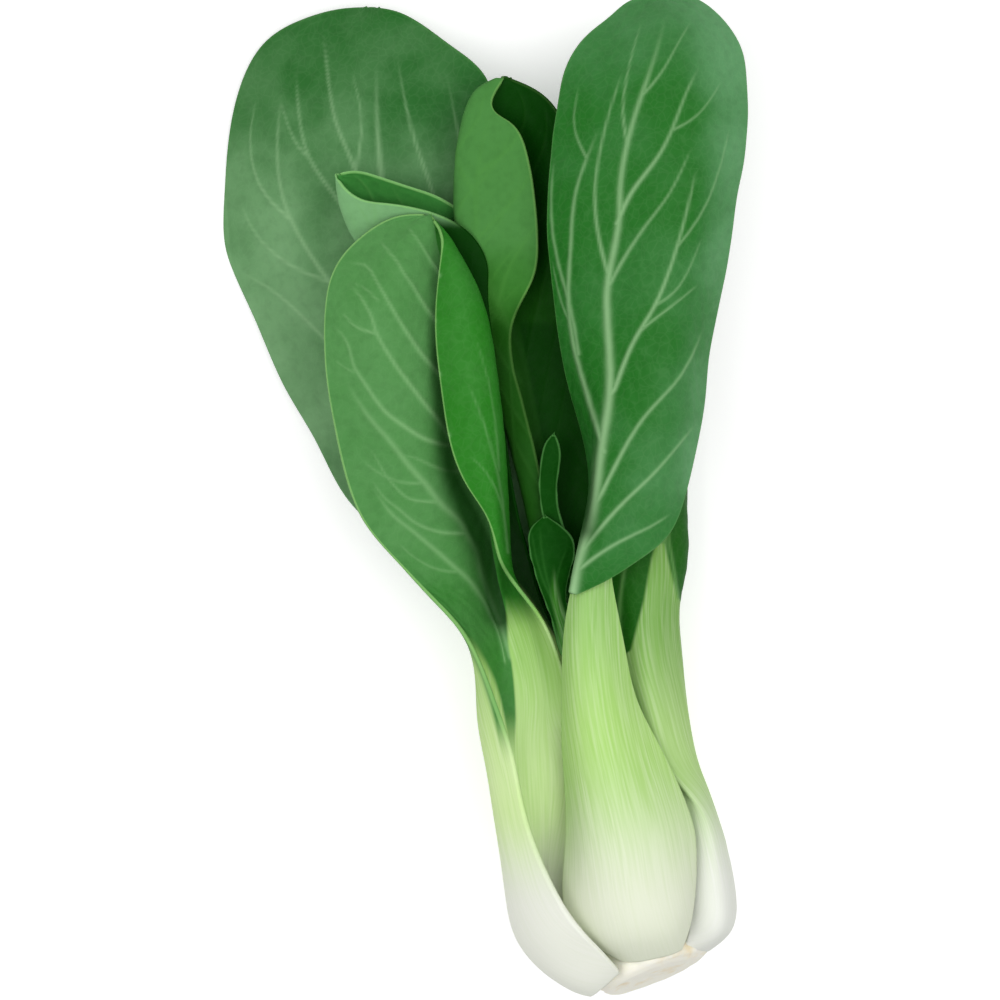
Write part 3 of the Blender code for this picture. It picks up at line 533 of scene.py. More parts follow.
FRONT_STALK = {
    "rails": [
        [(-5, -118.5, 41.5), (-11.5, -113, 44.5), (-17, -104, 43.5), (-13.6, -85, 39), at(562, 756, 40),
         at(561, 700, 42), at(562, 650, 44.5), at(566, 612, 46), at(573, 580, 46.5), at(586, 540, 46.5)],
        [(-1.5, -119, 43.4), (-6, -113, 50.3), (-9, -104, 52), (-8, -85, 51), at(580, 756, 49.5),
         at(576, 700, 49), at(573, 650, 49), at(576, 612, 49), at(581, 580, 48.8), at(590, 540, 47.8)],
        [(3, -119, 43.8), (2, -113, 52.2), (1.5, -104, 55), (0.5, -85, 54.5), at(606, 756, 52.5),
         at(597, 700, 51), at(589, 650, 50.5), at(587, 612, 50), at(590, 580, 49.5), at(596, 540, 48.3)],
        [(7.3, -118.7, 43.2), (9, -113, 49.6), (11.5, -104, 50.6), (10.3, -85, 50.5), at(636, 756, 48.5),
         at(618, 700, 48.5), at(606, 650, 49), at(599, 612, 49), at(599, 578, 48.8), at(602, 540, 47.8)],
        [(10, -118, 41.3), (12.8, -113, 44), (15.9, -104, 43.2), (17.9, -94, 41.9), (18.1, -87, 41.1),
         at(665, 756, 40.5), at(637, 700, 42), at(625, 650, 44.5), at(616, 605, 46), at(611, 575, 46.5),
         at(606, 540, 46.5)],
    ],
    "tip": at(596, 520, 46.5),
    "middle": [(0, 2.0), (0.08, 6), (0.25, 8), (0.6, 6.0), (0.85, 3.5), (1, 1.4)],
    "edge": [(0, 1.4), (0.1, 1.8), (0.6, 1.6), (1, 1.0)],
    "last": 0.985,
    "up": -1.0,
    "wave": (0.0, 1.0, 0.0),
    "split": 1.0,
}
FRONT_BLADE = {
    "rails": [
        [at(568, 591, 49.8), at(574, 560, 48.5), at(583, 520, 45), at(588, 480, 42), at(580, 430, 41),
         at(566, 380, 42), at(553, 300, 46), at(547, 220, 48), at(552, 140, 48), at(570, 62, 46),
         at(606, 20, 44), at(630, 2, 43)],
        [at(570, 591, 50.6), at(575, 565, 51), at(586, 520, 51), at(594, 470, 50), at(592, 420, 49.5),
         at(586, 370, 50), at(580, 300, 52.5), at(580, 220, 54), at(590, 140, 54), at(610, 70, 51),
         at(635, 20, 46.5)],
        [at(572, 592, 51), at(579, 565, 52.8), at(590, 527, 54.5), at(597, 485, 55), at(601, 446, 54.5),
         at(607, 402, 54.5), at(609, 366, 54.5), at(608, 277, 56), at(619, 192, 57), at(639, 103, 56),
         at(652, 52, 53), at(658, 18, 48)],
        [at(574, 593, 51.2), at(592, 575, 54), at(618, 545, 57), at(640, 510, 58.5), at(652, 460, 59),
         at(660, 400, 59.5), at(664, 330, 60), at(668, 270, 60.5), at(680, 200, 60), at(693, 130, 58),
         at(695, 60, 53), at(682, 16, 47)],
        [at(576, 594, 51.2), at(606, 580, 53), at(637, 560, 55), at(666, 536, 54.5), at(682, 503, 52.5),
         at(696, 446, 50), at(704, 400, 49), at(708, 357, 48.5), at(717, 312, 48.5), at(726, 263, 49),
         at(733, 214, 49.5), at(743, 165, 49.5), at(746, 100, 48), at(738, 48, 45), at(718, 16, 43),
         at(694, -1, 42)],
    ],
    "tip": at(662, -4, 42),
    "middle": [(0, 2.0), (0.3, 1.8), (1, 0.9)],
    "edge": [(0, 1.0), (0.3, 0.8), (1, 0.7)],
    "last": 0.994,
    "up": -1.0,
    "wave": (0.35, 4.0, 0.45),
    "split": 0.0,
}
FRONT_VEINS = [
    (1.35, 0.45, 1.0, [(572, 592), (577, 562), (588, 527), (595, 491), (601, 446), (608, 402), (609, 366),
     (606, 312), (608, 277), (618, 223), (619, 192), (626, 147), (639, 103), (657, 49), (664, 20)]),
    (0.7, 0.35, 0.8, [(603, 452), (599, 437), (586, 393), (572, 339), (568, 290), (570, 250), (574, 201),
     (586, 161), (599, 130)]),
    (0.5, 0.3, 0.6, [(578, 355), (570, 310), (558, 265), (552, 230), (551, 194), (554, 160)]),
    (0.6, 0.3, 0.8, [(608, 398), (612, 393), (630, 348), (653, 308), (675, 250), (688, 201), (695, 170)]),
    (0.6, 0.3, 0.75, [(592, 508), (595, 504), (630, 437), (657, 402), (680, 375), (702, 330)]),
    (0.6, 0.3, 0.75, [(582, 552), (586, 545), (621, 504), (653, 473), (684, 437), (695, 424)]),
    (0.6, 0.3, 0.7, [(575, 575), (577, 571), (612, 545), (648, 527), (670, 513)]),
    (0.6, 0.3, 0.75, [(616, 226), (619, 219), (630, 196), (653, 165), (670, 134), (684, 98), (697, 71)]),
    (0.4, 0.25, 0.6, [(633, 342), (639, 333), (670, 308), (697, 286)]),
    (0.5, 0.25, 0.6, [(607, 290), (622, 262), (646, 226), (668, 196), (690, 150)]),
    (0.5, 0.25, 0.6, [(608, 280), (598, 240), (594, 200), (598, 160), (610, 110), (624, 70)]),
    (0.4, 0.2, 0.5, [(626, 147), (622, 110), (630, 62), (640, 26)]),
    (0.4, 0.2, 0.5, [(640, 100), (660, 76), (676, 48), (690, 24)]),
    (0.35, 0.2, 0.45, [(572, 330), (560, 300), (552, 262)]),
    (0.35, 0.2, 0.45, [(653, 308), (676, 290), (700, 240)]),
    (0.35, 0.2, 0.45, [(670, 134), (696, 118), (720, 84)]),
    (0.35, 0.2, 0.45, [(675, 250), (700, 215), (718, 170), (728, 130)]),
    (0.35, 0.2, 0.45, [(586, 161), (574, 130), (578, 90)]),
]


def all_stalk(column, row, across):
    return np.ones(column.shape)


def front_tone_and_painted_light(column, row, across):
    """Dark left of the midrib; painted light along the right side, which faces the light, with a painted
    sheen band near the right margin; lighter too at the top, and low down right of the midrib.
    """
    # Painted sheen: a lighter band near the right margin.
    sheen = [(9.0, 7.0, 0.9, [(690, 470), (700, 375), (706, 268), (722, 200), (734, 110)])]
    low = 0.28 * soft_step(340, 520, row) * soft_step(590, 660, column)
    top = 0.45 * soft_step(140, 10, row)
    right = 0.45 * soft_step(680, 740, column)
    return np.clip(0.08 + low + top + right + 0.42 * strength_of(sheen, column, row), 0, 1)


def front_painted_shade(column, row, across):
    """Painted shade on the strip of the left margin, low down, where it bends back."""
    strip = [(2.6, 1.6, 0.7, [(586, 530), (584, 480), (574, 430), (566, 390)])]
    return strength_of(strip, column, row)


front_patches = [
    leaf_patch(FRONT_STALK, 160, 40, [], all_stalk),
    leaf_patch(
        FRONT_BLADE, 330, 116, FRONT_VEINS, nowhere, ruffle=(0.15, 9.0), pillow=0.1,
        tone_and_painted_light=front_tone_and_painted_light, painted_shade=front_painted_shade,
    ),
]
# Its lighter blade colour is what the painted light and sheen mix in.
front_skin = leaf_material(
    "front_leaf_skin", 0.12,
    foot=srgb(230, 235, 214), middle=srgb(180, 222, 128), top=srgb(150, 197, 108),
    foot_row=0.91, middle_row=0.74, top_row=0.58,
    blade=srgb(34, 110, 32), blade_light=srgb(98, 156, 104), under=srgb(96, 150, 88),
    vein=srgb(160, 204, 148), margin=srgb(104, 160, 88), edge=0.3, streak=0.5, vein_share=0.9, sheen=0.48,
)
front_leaf = leaf_piece("leaf_front", front_patches, front_skin)
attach(front_leaf, "root")
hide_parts("front_leaf_stalk", "front_leaf_blade")

# Right outer leaf
# The leaf that wraps the head's right side: a white stalk that bulges outwards, with a
# narrow green wing on each side of its top, and a blade under the centre front leaf's.

# The rim of its foot is tucked further under the front leaf's edge than the part's is.
RIGHT_LEAF = {
    "rails": [
        [(11.2, -117.8, 38.3), (13.2, -112, 39.8), (15, -104, 39.6), (16.3, -97, 38.4), (16.8, -91, 37.4),
         (16.8, -85, 36.3), (16.2, -79, 35), at(650, 755, 33), at(630, 700, 33.5), at(612, 650, 34),
         at(608, 600, 36), at(612, 560, 38), at(612, 500, 39), at(606, 440, 38), at(600, 400, 37),
         at(596, 320, 36), at(606, 240, 36), at(634, 180, 35), at(660, 158, 34.5)],
        [(13.8, -119, 36), (20.5, -114, 42.3), (22.6, -104, 41.2), (22.8, -95, 39.4), (21.4, -85, 38),
         at(668, 760, 37), at(651, 700, 38), at(643, 650, 39), at(644, 600, 40), at(648, 560, 40.5),
         at(650, 500, 43), at(640, 440, 44), at(634, 380, 44), at(634, 300, 43), at(644, 230, 40.5),
         at(662, 172, 36.5)],
        [(16.5, -120, 31), (23.7, -115, 31.5), (25.7, -104, 31.5), (25.2, -94, 31), (23, -80, 30.5),
         at(692, 760, 31), at(672, 700, 34), at(664, 650, 36), at(662, 600, 38), at(664, 560, 39),
         at(668, 500, 42), at(666, 440, 43), at(664, 380, 43.5), at(668, 300, 42.5), at(674, 230, 40),
         at(680, 168, 36)],
        [(16.8, -119.5, 26.5), (22.5, -115, 23), (25, -104, 24), (24.4, -92, 24), (22.5, -80, 24),
         at(696, 758, 24.5), at(687, 700, 26), at(682, 650, 28), at(680, 605, 31), at(687, 560, 33),
         at(684, 500, 37), at(684, 440, 38.5), at(684, 380, 38.5), at(692, 300, 37.5), at(700, 230, 36.5),
         at(696, 172, 35)],
        [(15.6, -118.5, 23.5), (17.5, -114, 18), (17.5, -103, 17), (16, -90, 17.5), (15, -78, 17),
         at(674, 752, 17.5), at(668, 700, 19), at(667, 650, 22), at(670, 605, 25), at(681, 560, 28),
         at(687, 505, 31), at(690, 440, 32), at(694, 380, 33), at(706, 300, 33), at(718, 230, 33),
         at(712, 184, 33.5)],
    ],
    "tip": at(682, 150, 34),
    "middle": [(0, 1.8), (0.08, 4.5), (0.25, 5.5), (0.42, 4.2), (0.55, 1.6), (1, 0.9)],
    "edge": [(0, 1.4), (0.08, 2.0), (0.25, 1.8), (0.42, 1.0), (1, 0.7)],
    "last": 0.994,
    "up": -1.0,
    "wave": (0.4, 4.0, 0.7),
    "split": 0.43,
}


def feather(spec, count, spread, first=0.42, last=0.94):
    """Veins of a leaf that isn't drawn vein by vein: a midrib, and side veins that rise from it."""
    rails = [rail + [spec["tip"]] for rail in spec["rails"]]
    shares = np.linspace(0, 0.99, 120)
    grid = sheet(rails, shares, np.linspace(0.0, 1.0, 41))
    column, row = on_sheet(grid)

    def point(share, across):
        i = int(np.clip(round(share / 0.99 * 119), 0, 119))
        j = int(np.clip(round(across * 40), 0, 40))
        return (column[i, j], row[i, j])

    veins = [(2.2, 0.4, 1.0, [point(share, 0.5) for share in np.linspace(0.15, 0.97, 14)])]
    for i in range(count):
        start = first + (last - first) * i / count
        rise = spread * (1 - 0.45 * i / count)
        for side in (-1, 1):
            begin = start + 0.012 * side
            bow = [(0.0, 0.0), (0.3, 0.16), (0.6, 0.30), (0.85, 0.40), (1.0, 0.465)]
            line = [point(min(begin + rise * up, 0.985), 0.5 + side * out) for up, out in bow]
            if len({tuple(np.round(p, 1)) for p in line}) == len(line):
                veins.append((0.6, 0.25, 0.7, line))
    return veins


def right_stalk(column, row, across):
    return inside([(540, 656, 663), (560, 650, 668), (600, 643, 678), (650, 630, FAR), (670, 600, FAR),
                   (690, -FAR, FAR)], column, row, 5)


def dark_tone(column, row, across):
    return np.full(column.shape, 0.15)


right_veins = feather(RIGHT_LEAF, 6, 0.2, 0.5) + [
    (0.6, 0.4, 0.8, [(619, 640), (619, 609), (624, 570), (632, 545)]),
    (0.5, 0.3, 0.8, [(678, 600), (674, 575), (671, 556), (668, 536), (668, 510)]),
]
right_patch = leaf_patch(RIGHT_LEAF, 330, 62, right_veins, right_stalk, tone_and_painted_light=dark_tone)
right_skin = leaf_material(
    "right_leaf_skin", 0.12,
    foot=srgb(236, 238, 231), middle=srgb(178, 214, 134), top=srgb(124, 172, 84),
    foot_row=0.88, middle_row=0.76, top_row=0.60,
    blade=srgb(24, 92, 12), blade_light=srgb(52, 112, 36), under=srgb(84, 142, 72),
    vein=srgb(130, 184, 106), margin=srgb(110, 168, 88), edge=0.35, streak=0.45, vein_share=0.7, sheen=0.5,
)
right_leaf = leaf_piece("leaf_right", [right_patch], right_skin)
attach(right_leaf, "root")
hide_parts("right_leaf_stalk", "right_leaf_blade")

# Back left leaf
# The broadest leaf, low at the back and spread to the left. Its blade is smooth with thin
# pale veins, and its stalk lies on the ground under the head.

BACK_LEFT_LEAF = {
    "rails": [
        [(-12, -121, 22), (-21.5, -117.5, 17.3), (-28, -104, 17.5), (-27.5, -85, 15), (-25, -52, 15),
         at(440, 590, 13), at(389, 540, 10), at(346, 498, 8), at(315, 440, 6), at(284, 385, 4),
         at(253, 314, 2), at(224, 252, 0.6), at(222, 195, 0.3), at(237, 96, 2), at(265, 39, 5),
         at(305, 16, 8), at(340, 7, 10)],
        [(-9.5, -122.4, 18.2), (-17.5, -118, 11.5), (-22.5, -104, 8.5), (-22, -85, 7.5), (-19, -52, 8.5),
         at(480, 600, 8.5), at(425, 540, 9), at(385, 480, 9.5), at(345, 400, 9.5), at(310, 320, 9),
         at(285, 240, 8.5), at(280, 160, 9), at(300, 90, 10.5), at(335, 38, 12), at(358, 14, 13)],
        [(-6, -123, 15.2), (-11.5, -118, 6.5), (-14.5, -104, 2.5), (-14, -85, 1.6), (-13, -52, 5),
         at(508, 600, 8), at(470, 540, 11), at(440, 470, 13.5), at(405, 390, 15.5), at(372, 310, 16.5),
         at(350, 230, 16.5), at(345, 150, 16), at(352, 85, 15.5), at(364, 40, 15), at(370, 16, 14.5)],
        [(-2, -123, 13.5), (-4, -118, 4.5), (-4, -104, -0.7), (-4, -85, -0.7), (-6, -52, 4),
         at(530, 600, 8), at(505, 540, 11.5), at(480, 470, 15), at(450, 390, 17.5), at(425, 310, 18.5),
         at(408, 230, 19), at(400, 150, 19), at(397, 90, 18), at(390, 45, 17), at(381, 18, 16)],
        [(2, -122.5, 13.2), (5, -117.5, 5.5), (7.8, -104, 1.6), (7.2, -85, 1.3), (3, -52, 4.8),
         at(560, 600, 9), at(540, 540, 13), at(522, 470, 16), at(505, 390, 18), at(495, 310, 19.5),
         at(490, 230, 20.5), at(492, 150, 21), at(487, 80, 20.5), at(452, 46, 19.5), at(425, 26, 18),
         at(398, 11, 16.5)],
    ],
    "tip": at(372, 6, 14.5),
    "middle": [(0, 1.8), (0.08, 4.5), (0.2, 6.5), (0.34, 4.5), (0.46, 1.8), (1, 0.9)],
    "edge": [(0, 1.4), (0.08, 1.8), (0.34, 1.2), (0.5, 0.8), (1, 0.7)],
    "last": 0.994,
    "up": 1.0,
    "wave": (0.8, 3.5, 0.2),
    "split": 0.38,
}
BACK_LEFT_VEINS = [
    (2.2, 0.4, 0.9, [(508, 700), (500, 640), (480, 560), (445, 450), (415, 350), (392, 250), (381, 170),
     (377, 108), (377, 60)]),
    (0.6, 0.3, 0.6, [(390, 262), (372, 215), (356, 170), (347, 147), (335, 115), (326, 53), (322, 30)]),
    (0.6, 0.3, 0.6, [(398, 300), (366, 240), (338, 197), (310, 156), (299, 108), (296, 66)]),
    (0.7, 0.3, 0.6, [(418, 368), (365, 318), (331, 280), (310, 250), (292, 218), (280, 179), (278, 129),
     (282, 90)]),
    (0.6, 0.3, 0.6, [(440, 440), (370, 380), (326, 337), (310, 321), (276, 291), (237, 269)]),
    (0.5, 0.25, 0.5, [(452, 460), (420, 430), (380, 425), (345, 412), (318, 398)]),
    (0.6, 0.3, 0.6, [(452, 460), (450, 400), (452, 320), (445, 250), (432, 190), (413, 133), (397, 53)]),
    (0.6, 0.3, 0.5, [(462, 500), (470, 400), (474, 300), (470, 210), (458, 130), (446, 70)]),
    (0.4, 0.25, 0.45, [(331, 280), (290, 262), (256, 232), (240, 200)]),
    (0.4, 0.2, 0.45, [(292, 218), (262, 186), (250, 140), (256, 96)]),
    (0.4, 0.2, 0.4, [(310, 156), (296, 140), (280, 96)]),
    (0.4, 0.2, 0.4, [(356, 170), (362, 120), (352, 70)]),
]


def low_stalk(column, row, across):
    """The pale part reaches higher up the middle of the leaf than at its margins."""
    middle = 1 - np.abs(2 * across - 1)
    return soft_step(0, 90, row - 600 + 70 * middle)


def back_left_tone_and_painted_sheen(column, row, across):
    """Darkest at the tip and to the right, lightest low on the left, where a greyish sheen is painted."""
    left_share = np.clip((520 - column) / 300, 0.45, 0.8)
    return 0.14 + 0.75 * soft_step(0, 300, row) * left_share


back_left_patch = leaf_patch(
    BACK_LEFT_LEAF, 340, 140, BACK_LEFT_VEINS, low_stalk, pillow=0.05, tone_and_painted_light=back_left_tone_and_painted_sheen
)
BACK_STALK = dict(
    foot=srgb(238, 241, 230), middle=srgb(216, 234, 186), top=srgb(170, 206, 122),
    foot_row=0.93, middle_row=0.76, top_row=0.58,
)
# Its lighter, greyish blade colour is the painted sheen low on the left.
back_left_skin = leaf_material(
    "back_left_leaf_skin", 0.12, **BACK_STALK,
    blade=srgb(28, 100, 30), blade_light=srgb(126, 174, 122), under=srgb(96, 150, 88),
    vein=srgb(166, 208, 156), margin=srgb(92, 150, 80), edge=0.2, streak=0.5, vein_share=0.85, sheen=0.46,
)
back_left_leaf = leaf_piece("leaf_back_left", [back_left_patch], back_left_skin)
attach(back_left_leaf, "root")
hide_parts("back_left_leaf_stalk", "back_left_leaf_blade")

# Back right leaf
# The second leaf at the back, low under the centre front leaf and the right outer leaf.

BACK_RIGHT_LEAF = {
    "rails": [
        [(5.5, -122, 13.6), (8, -117.5, 6.3), (9.8, -104, 3.2), (9, -85, 3), (5, -52, 6), at(585, 590, 8),
         at(580, 520, 11), at(572, 440, 14.5), at(560, 360, 17), at(556, 280, 18), at(562, 200, 18),
         at(585, 120, 17), at(625, 66, 14.5)],
        [(9, -121.5, 14.8), (12, -117, 8.3), (14.2, -104, 5.8), (13, -85, 5.2), (9, -52, 6.5),
         at(610, 590, 7), at(608, 520, 7), at(606, 440, 8), at(603, 360, 9.5), at(602, 280, 10),
         at(606, 200, 10), at(622, 120, 10), at(648, 60, 9.5)],
        [(12.2, -121, 16.8), (16, -116.5, 11.3), (18.6, -104, 9.6), (17, -85, 8.8), (12.5, -52, 8.5),
         at(632, 590, 7), at(638, 520, 5.5), at(645, 440, 4.5), at(648, 360, 3.5), at(650, 280, 2.8),
         at(652, 200, 3.2), at(660, 120, 5), at(670, 57, 8)],
        [(14.7, -120.5, 19.4), (19, -116, 14.8), (21.8, -104, 14), (20.3, -85, 13), (16, -52, 11.5),
         at(652, 590, 9), at(663, 520, 6), at(674, 440, 4), at(682, 360, 2.2), at(690, 280, 0.8),
         at(697, 200, 1), at(702, 120, 4), at(694, 60, 7.5)],
        [(16.5, -119.5, 22), (20.8, -115.5, 18.3), (23.8, -104, 18.5), (22.6, -85, 18), (18.5, -52, 15.5),
         at(668, 590, 13), at(679, 520, 8.5), at(690, 440, 5), at(699, 360, 2.2), at(710, 280, 0.5),
         at(722, 200, 0.3), at(730, 125, 3.5), at(716, 72, 7)],
    ],
    "tip": at(674, 46, 9),
    "middle": [(0, 1.6), (0.08, 3.8), (0.2, 5.4), (0.34, 4), (0.46, 1.8), (1, 0.9)],
    "edge": [(0, 1.2), (0.08, 1.5), (0.34, 1.2), (0.5, 0.8), (1, 0.7)],
    "last": 0.994,
    "up": 1.0,
    "wave": (0.5, 3.0, 0.6),
    "split": 0.38,
}
back_right_patch = leaf_patch(
    BACK_RIGHT_LEAF, 270, 62, feather(BACK_RIGHT_LEAF, 7, 0.2, 0.42), low_stalk, tone_and_painted_light=dark_tone
)
back_right_skin = leaf_material(
    "back_right_leaf_skin", 0.12, **BACK_STALK,
    blade=srgb(48, 106, 42), blade_light=srgb(62, 122, 56), under=srgb(84, 138, 74),
    vein=srgb(140, 188, 130), margin=srgb(124, 176, 108), edge=0.4, streak=0.5, vein_share=0.6, sheen=0.42,
)
back_right_leaf = leaf_piece("leaf_back_right", [back_right_patch], back_right_skin)
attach(back_right_leaf, "root")
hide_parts("back_right_leaf_stalk", "back_right_leaf_blade")

# Cup leaf
# A younger leaf rolled like a cup between the back left leaf and the left front leaf. Its
# near margin hangs over the dark hollow inside it.

CUP_LEAF = {
    "rails": [
        [(-3.8, -108.6, 24), (-4, -85, 22), (-3.5, -52, 20.3), at(543, 608, 26), at(528, 560, 30.5),
         at(514, 505, 34), at(505, 440, 36.5), at(496, 370, 37.8), at(488, 310, 38.2), at(487, 286, 38.4),
         at(486, 264, 38.6), at(470, 236, 38.8), at(440, 217, 38.5), at(397, 206, 38), at(364, 202, 37.3),
         at(345, 190, 36.4)],
        [(-3.5, -108.6, 22.8), (-5, -85, 20.3), (-5.2, -52, 18.2), at(522, 600, 18.5), at(486, 520, 26),
         at(462, 420, 33), at(428, 340, 33), at(388, 285, 32), at(354, 240, 32), at(339, 204, 34)],
        [(-2, -108.6, 22), (-3.2, -85, 18.8), (-3.5, -52, 16.2), at(515, 600, 14.5), at(482, 520, 21.5),
         at(462, 420, 26), at(440, 340, 26), at(400, 275, 26.5), at(368, 222, 28), at(348, 194, 31.5)],
        [(0, -108.6, 22), (-0.5, -85, 18.2), (0, -52, 15.6), at(538, 600, 13.6), at(510, 520, 19),
         at(500, 420, 24), at(495, 330, 24.5), at(490, 250, 26), at(455, 207, 29), at(418, 190, 31.5),
         at(383, 178, 33), at(356, 171, 34)],
    ],
    "tip": at(335, 175, 35),
    "middle": [(0, 1.4), (0.3, 1.4), (0.5, 1.1), (1, 0.8)],
    "edge": [(0, 1.0), (0.3, 1.0), (0.5, 0.8), (1, 0.7)],
    "last": 0.994,
    "up": 1.0,
    "wave": (0.3, 4.0, 0.3),
    "split": 0.36,
}


def cup_painted_shade(column, row, across):
    """Painted shade where the near side curls down between its neighbours, and in the gap below."""
    curl = soft_step(380, 440, column) * soft_step(212, 230, row)
    return np.maximum(curl, 0.9 * soft_step(280, 330, row))


cup_patch = leaf_patch(
    CUP_LEAF, 250, 84, feather(CUP_LEAF, 7, 0.18, 0.45), low_stalk, ruffle=(0.2, 13.0),
    tone_and_painted_light=nowhere, painted_shade=cup_painted_shade,
)
YOUNG_STALK = dict(
    foot=srgb(226, 238, 206), middle=srgb(196, 226, 150), top=srgb(150, 196, 100),
    foot_row=0.93, middle_row=0.76, top_row=0.58,
)
cup_skin = leaf_material(
    "cup_leaf_skin", 0.04, **YOUNG_STALK,
    blade=srgb(56, 126, 54), blade_light=srgb(64, 128, 62), under=srgb(126, 178, 122),
    vein=srgb(110, 168, 92), margin=srgb(140, 200, 116), edge=0.6, streak=0.5, vein_share=0.4, sheen=0.5,
)
cup_leaf = leaf_piece("leaf_cup", [cup_patch], cup_skin)
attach(cup_leaf, "root")
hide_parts("cup_leaf_stalk", "cup_leaf_blade")

# Centre back leaf
# A younger leaf behind the gap between the front leaves. Its left side is curled forward
# and shows the paler underside, with a crinkled margin round a dark hollow.

CENTRE_LEAF = {
    "rails": [
        [(5, -108.6, 31.5), (5.5, -85, 32), (5, -52, 31.5), at(568, 600, 31.5), at(545, 500, 32.5),
         at(522, 400, 36), at(512, 325, 37.5), at(532, 280, 38), at(537, 230, 38.5), at(529, 165, 38.5),
         at(512, 125, 37.5), at(492, 108, 36.5)],
        [(3.4, -108.6, 30), (3, -85, 30), (2.5, -52, 29.5), at(556, 600, 30), at(528, 500, 31),
         at(502, 400, 33.5), at(482, 320, 34), at(463, 255, 34), at(457, 200, 34), at(461, 140, 34),
         at(470, 105, 34), at(480, 90, 33.8)],
        [(3.4, -108.6, 27.5), (3, -85, 27), (2.5, -52, 26.5), at(556, 600, 27.5), at(532, 500, 28.5),
         at(508, 400, 29.5), at(494, 320, 29), at(484, 250, 29), at(484, 190, 29.5), at(488, 130, 30.5),
         at(494, 100, 32)],
        [(6, -108.6, 26), (6.5, -85, 25.5), (6.5, -52, 25), at(578, 600, 25.5), at(560, 500, 27),
         at(542, 400, 28.5), at(532, 320, 29.5), at(528, 250, 30), at(530, 180, 31), at(527, 120, 32),
         at(516, 92, 32.8)],
        [(8.6, -108.6, 27), (10, -85, 26.5), (10.5, -52, 26.5), at(604, 600, 28), at(604, 500, 30),
         at(596, 400, 32), at(588, 320, 34), at(580, 250, 35), at(576, 180, 36), at(558, 116, 35.5),
         at(536, 92, 34)],
    ],
    "tip": at(505, 78, 33.3),
    "middle": [(0, 1.4), (0.3, 2.0), (0.5, 1.3), (1, 0.8)],
    "edge": [(0, 1.2), (0.3, 1.2), (0.5, 0.8), (1, 0.7)],
    "last": 0.994,
    "up": -1.0,
    "wave": (0.3, 4.0, 0.8),
    "split": 0.42,
}
centre_veins = feather(CENTRE_LEAF, 6, 0.2, 0.5) + [
    (0.5, 0.3, 0.8, [(526, 512), (516, 449), (511, 380), (508, 330)]),
    (0.5, 0.3, 0.8, [(549, 489), (541, 437), (531, 397), (522, 350)]),
    (0.5, 0.3, 0.8, [(526, 541), (519, 506), (511, 472), (506, 430)]),
]


def centre_painted_shade(column, row, across):
    """Painted shade in the hollow behind the curled side and in the gap below it."""
    hollow = soft_step(0.35, 0.5, across) * 0.8
    strip = 0.62 * soft_step(296, 335, row)
    gap = 0.95 * soft_step(-6, 8, column - 513 - 0.2 * (row - 321)) * soft_step(290, 330, row)
    return np.maximum(hollow, np.maximum(strip, gap))


def centre_tone(column, row, across):
    """The curled side is paler at its top than at its foot."""
    return 0.75 * soft_step(215, 300, row)


centre_patch = leaf_patch(
    CENTRE_LEAF, 250, 84, centre_veins, low_stalk, ruffle=(0.35, 16.0),
    tone_and_painted_light=centre_tone, painted_shade=centre_painted_shade,
)
# The dark blade colour, on the face seen inside the hollow, is partly the young leaf's own deep green and
# partly painted shade.
centre_skin = leaf_material(
    "centre_leaf_skin", 0.04, **YOUNG_STALK,
    blade=srgb(14, 80, 8), blade_light=srgb(44, 112, 24), under=srgb(80, 142, 70),
    vein=srgb(84, 150, 64), margin=srgb(130, 178, 96), edge=0.4, streak=0.5, vein_share=0.4, sheen=0.5,
)
centre_leaf = leaf_piece("leaf_centre", [centre_patch], centre_skin)
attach(centre_leaf, "root")
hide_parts("centre_leaf_stalk", "centre_leaf_blade")

# Heart leaves
# Two of the smallest leaves, deep in the gap between the front leaves, with pale jagged
# tips. Their dark green is partly their own and partly painted shade of the gap.

HEART_LEAF = {
    "rails": [
        [(3, -108.6, 35.5), (2, -80, 36.3), (-1, -52, 36.6), at(562, 655, 36.8), at(553, 625, 37.3),
         at(541, 592, 37.8), at(531, 555, 38), at(530, 530, 37.8)],
        [(4.2, -108.6, 34.6), (4, -80, 35.6), (1.5, -52, 36.1), at(569, 655, 36.8), at(560, 625, 37.5),
         at(549, 592, 38.4), at(540, 555, 38.8), at(538, 524, 38.4)],
        [(5.6, -108.6, 34.6), (6.5, -80, 35.6), (4.5, -52, 36.1), at(578, 655, 36.8), at(567, 625, 37.3),
         at(557, 592, 38.2), at(555, 555, 38.8), at(550, 522, 38.4)],
        [(7, -108.6, 35.2), (9, -80, 36.3), (8, -52, 36.6), at(588, 655, 36.5), at(575, 625, 37),
         at(566, 592, 37.3), at(574, 548, 37.6), at(563, 528, 37.8)],
    ],
    "tip": at(545, 515, 38),
    "middle": [(0, 1.2), (0.5, 1.8), (1, 0.9)],
    "edge": [(0, 1.0), (0.5, 1.0), (1, 0.7)],
    "last": 0.994,
    "up": -1.0,
    "wave": (0.25, 3.0, 0.1),
    "split": 1.0,
}
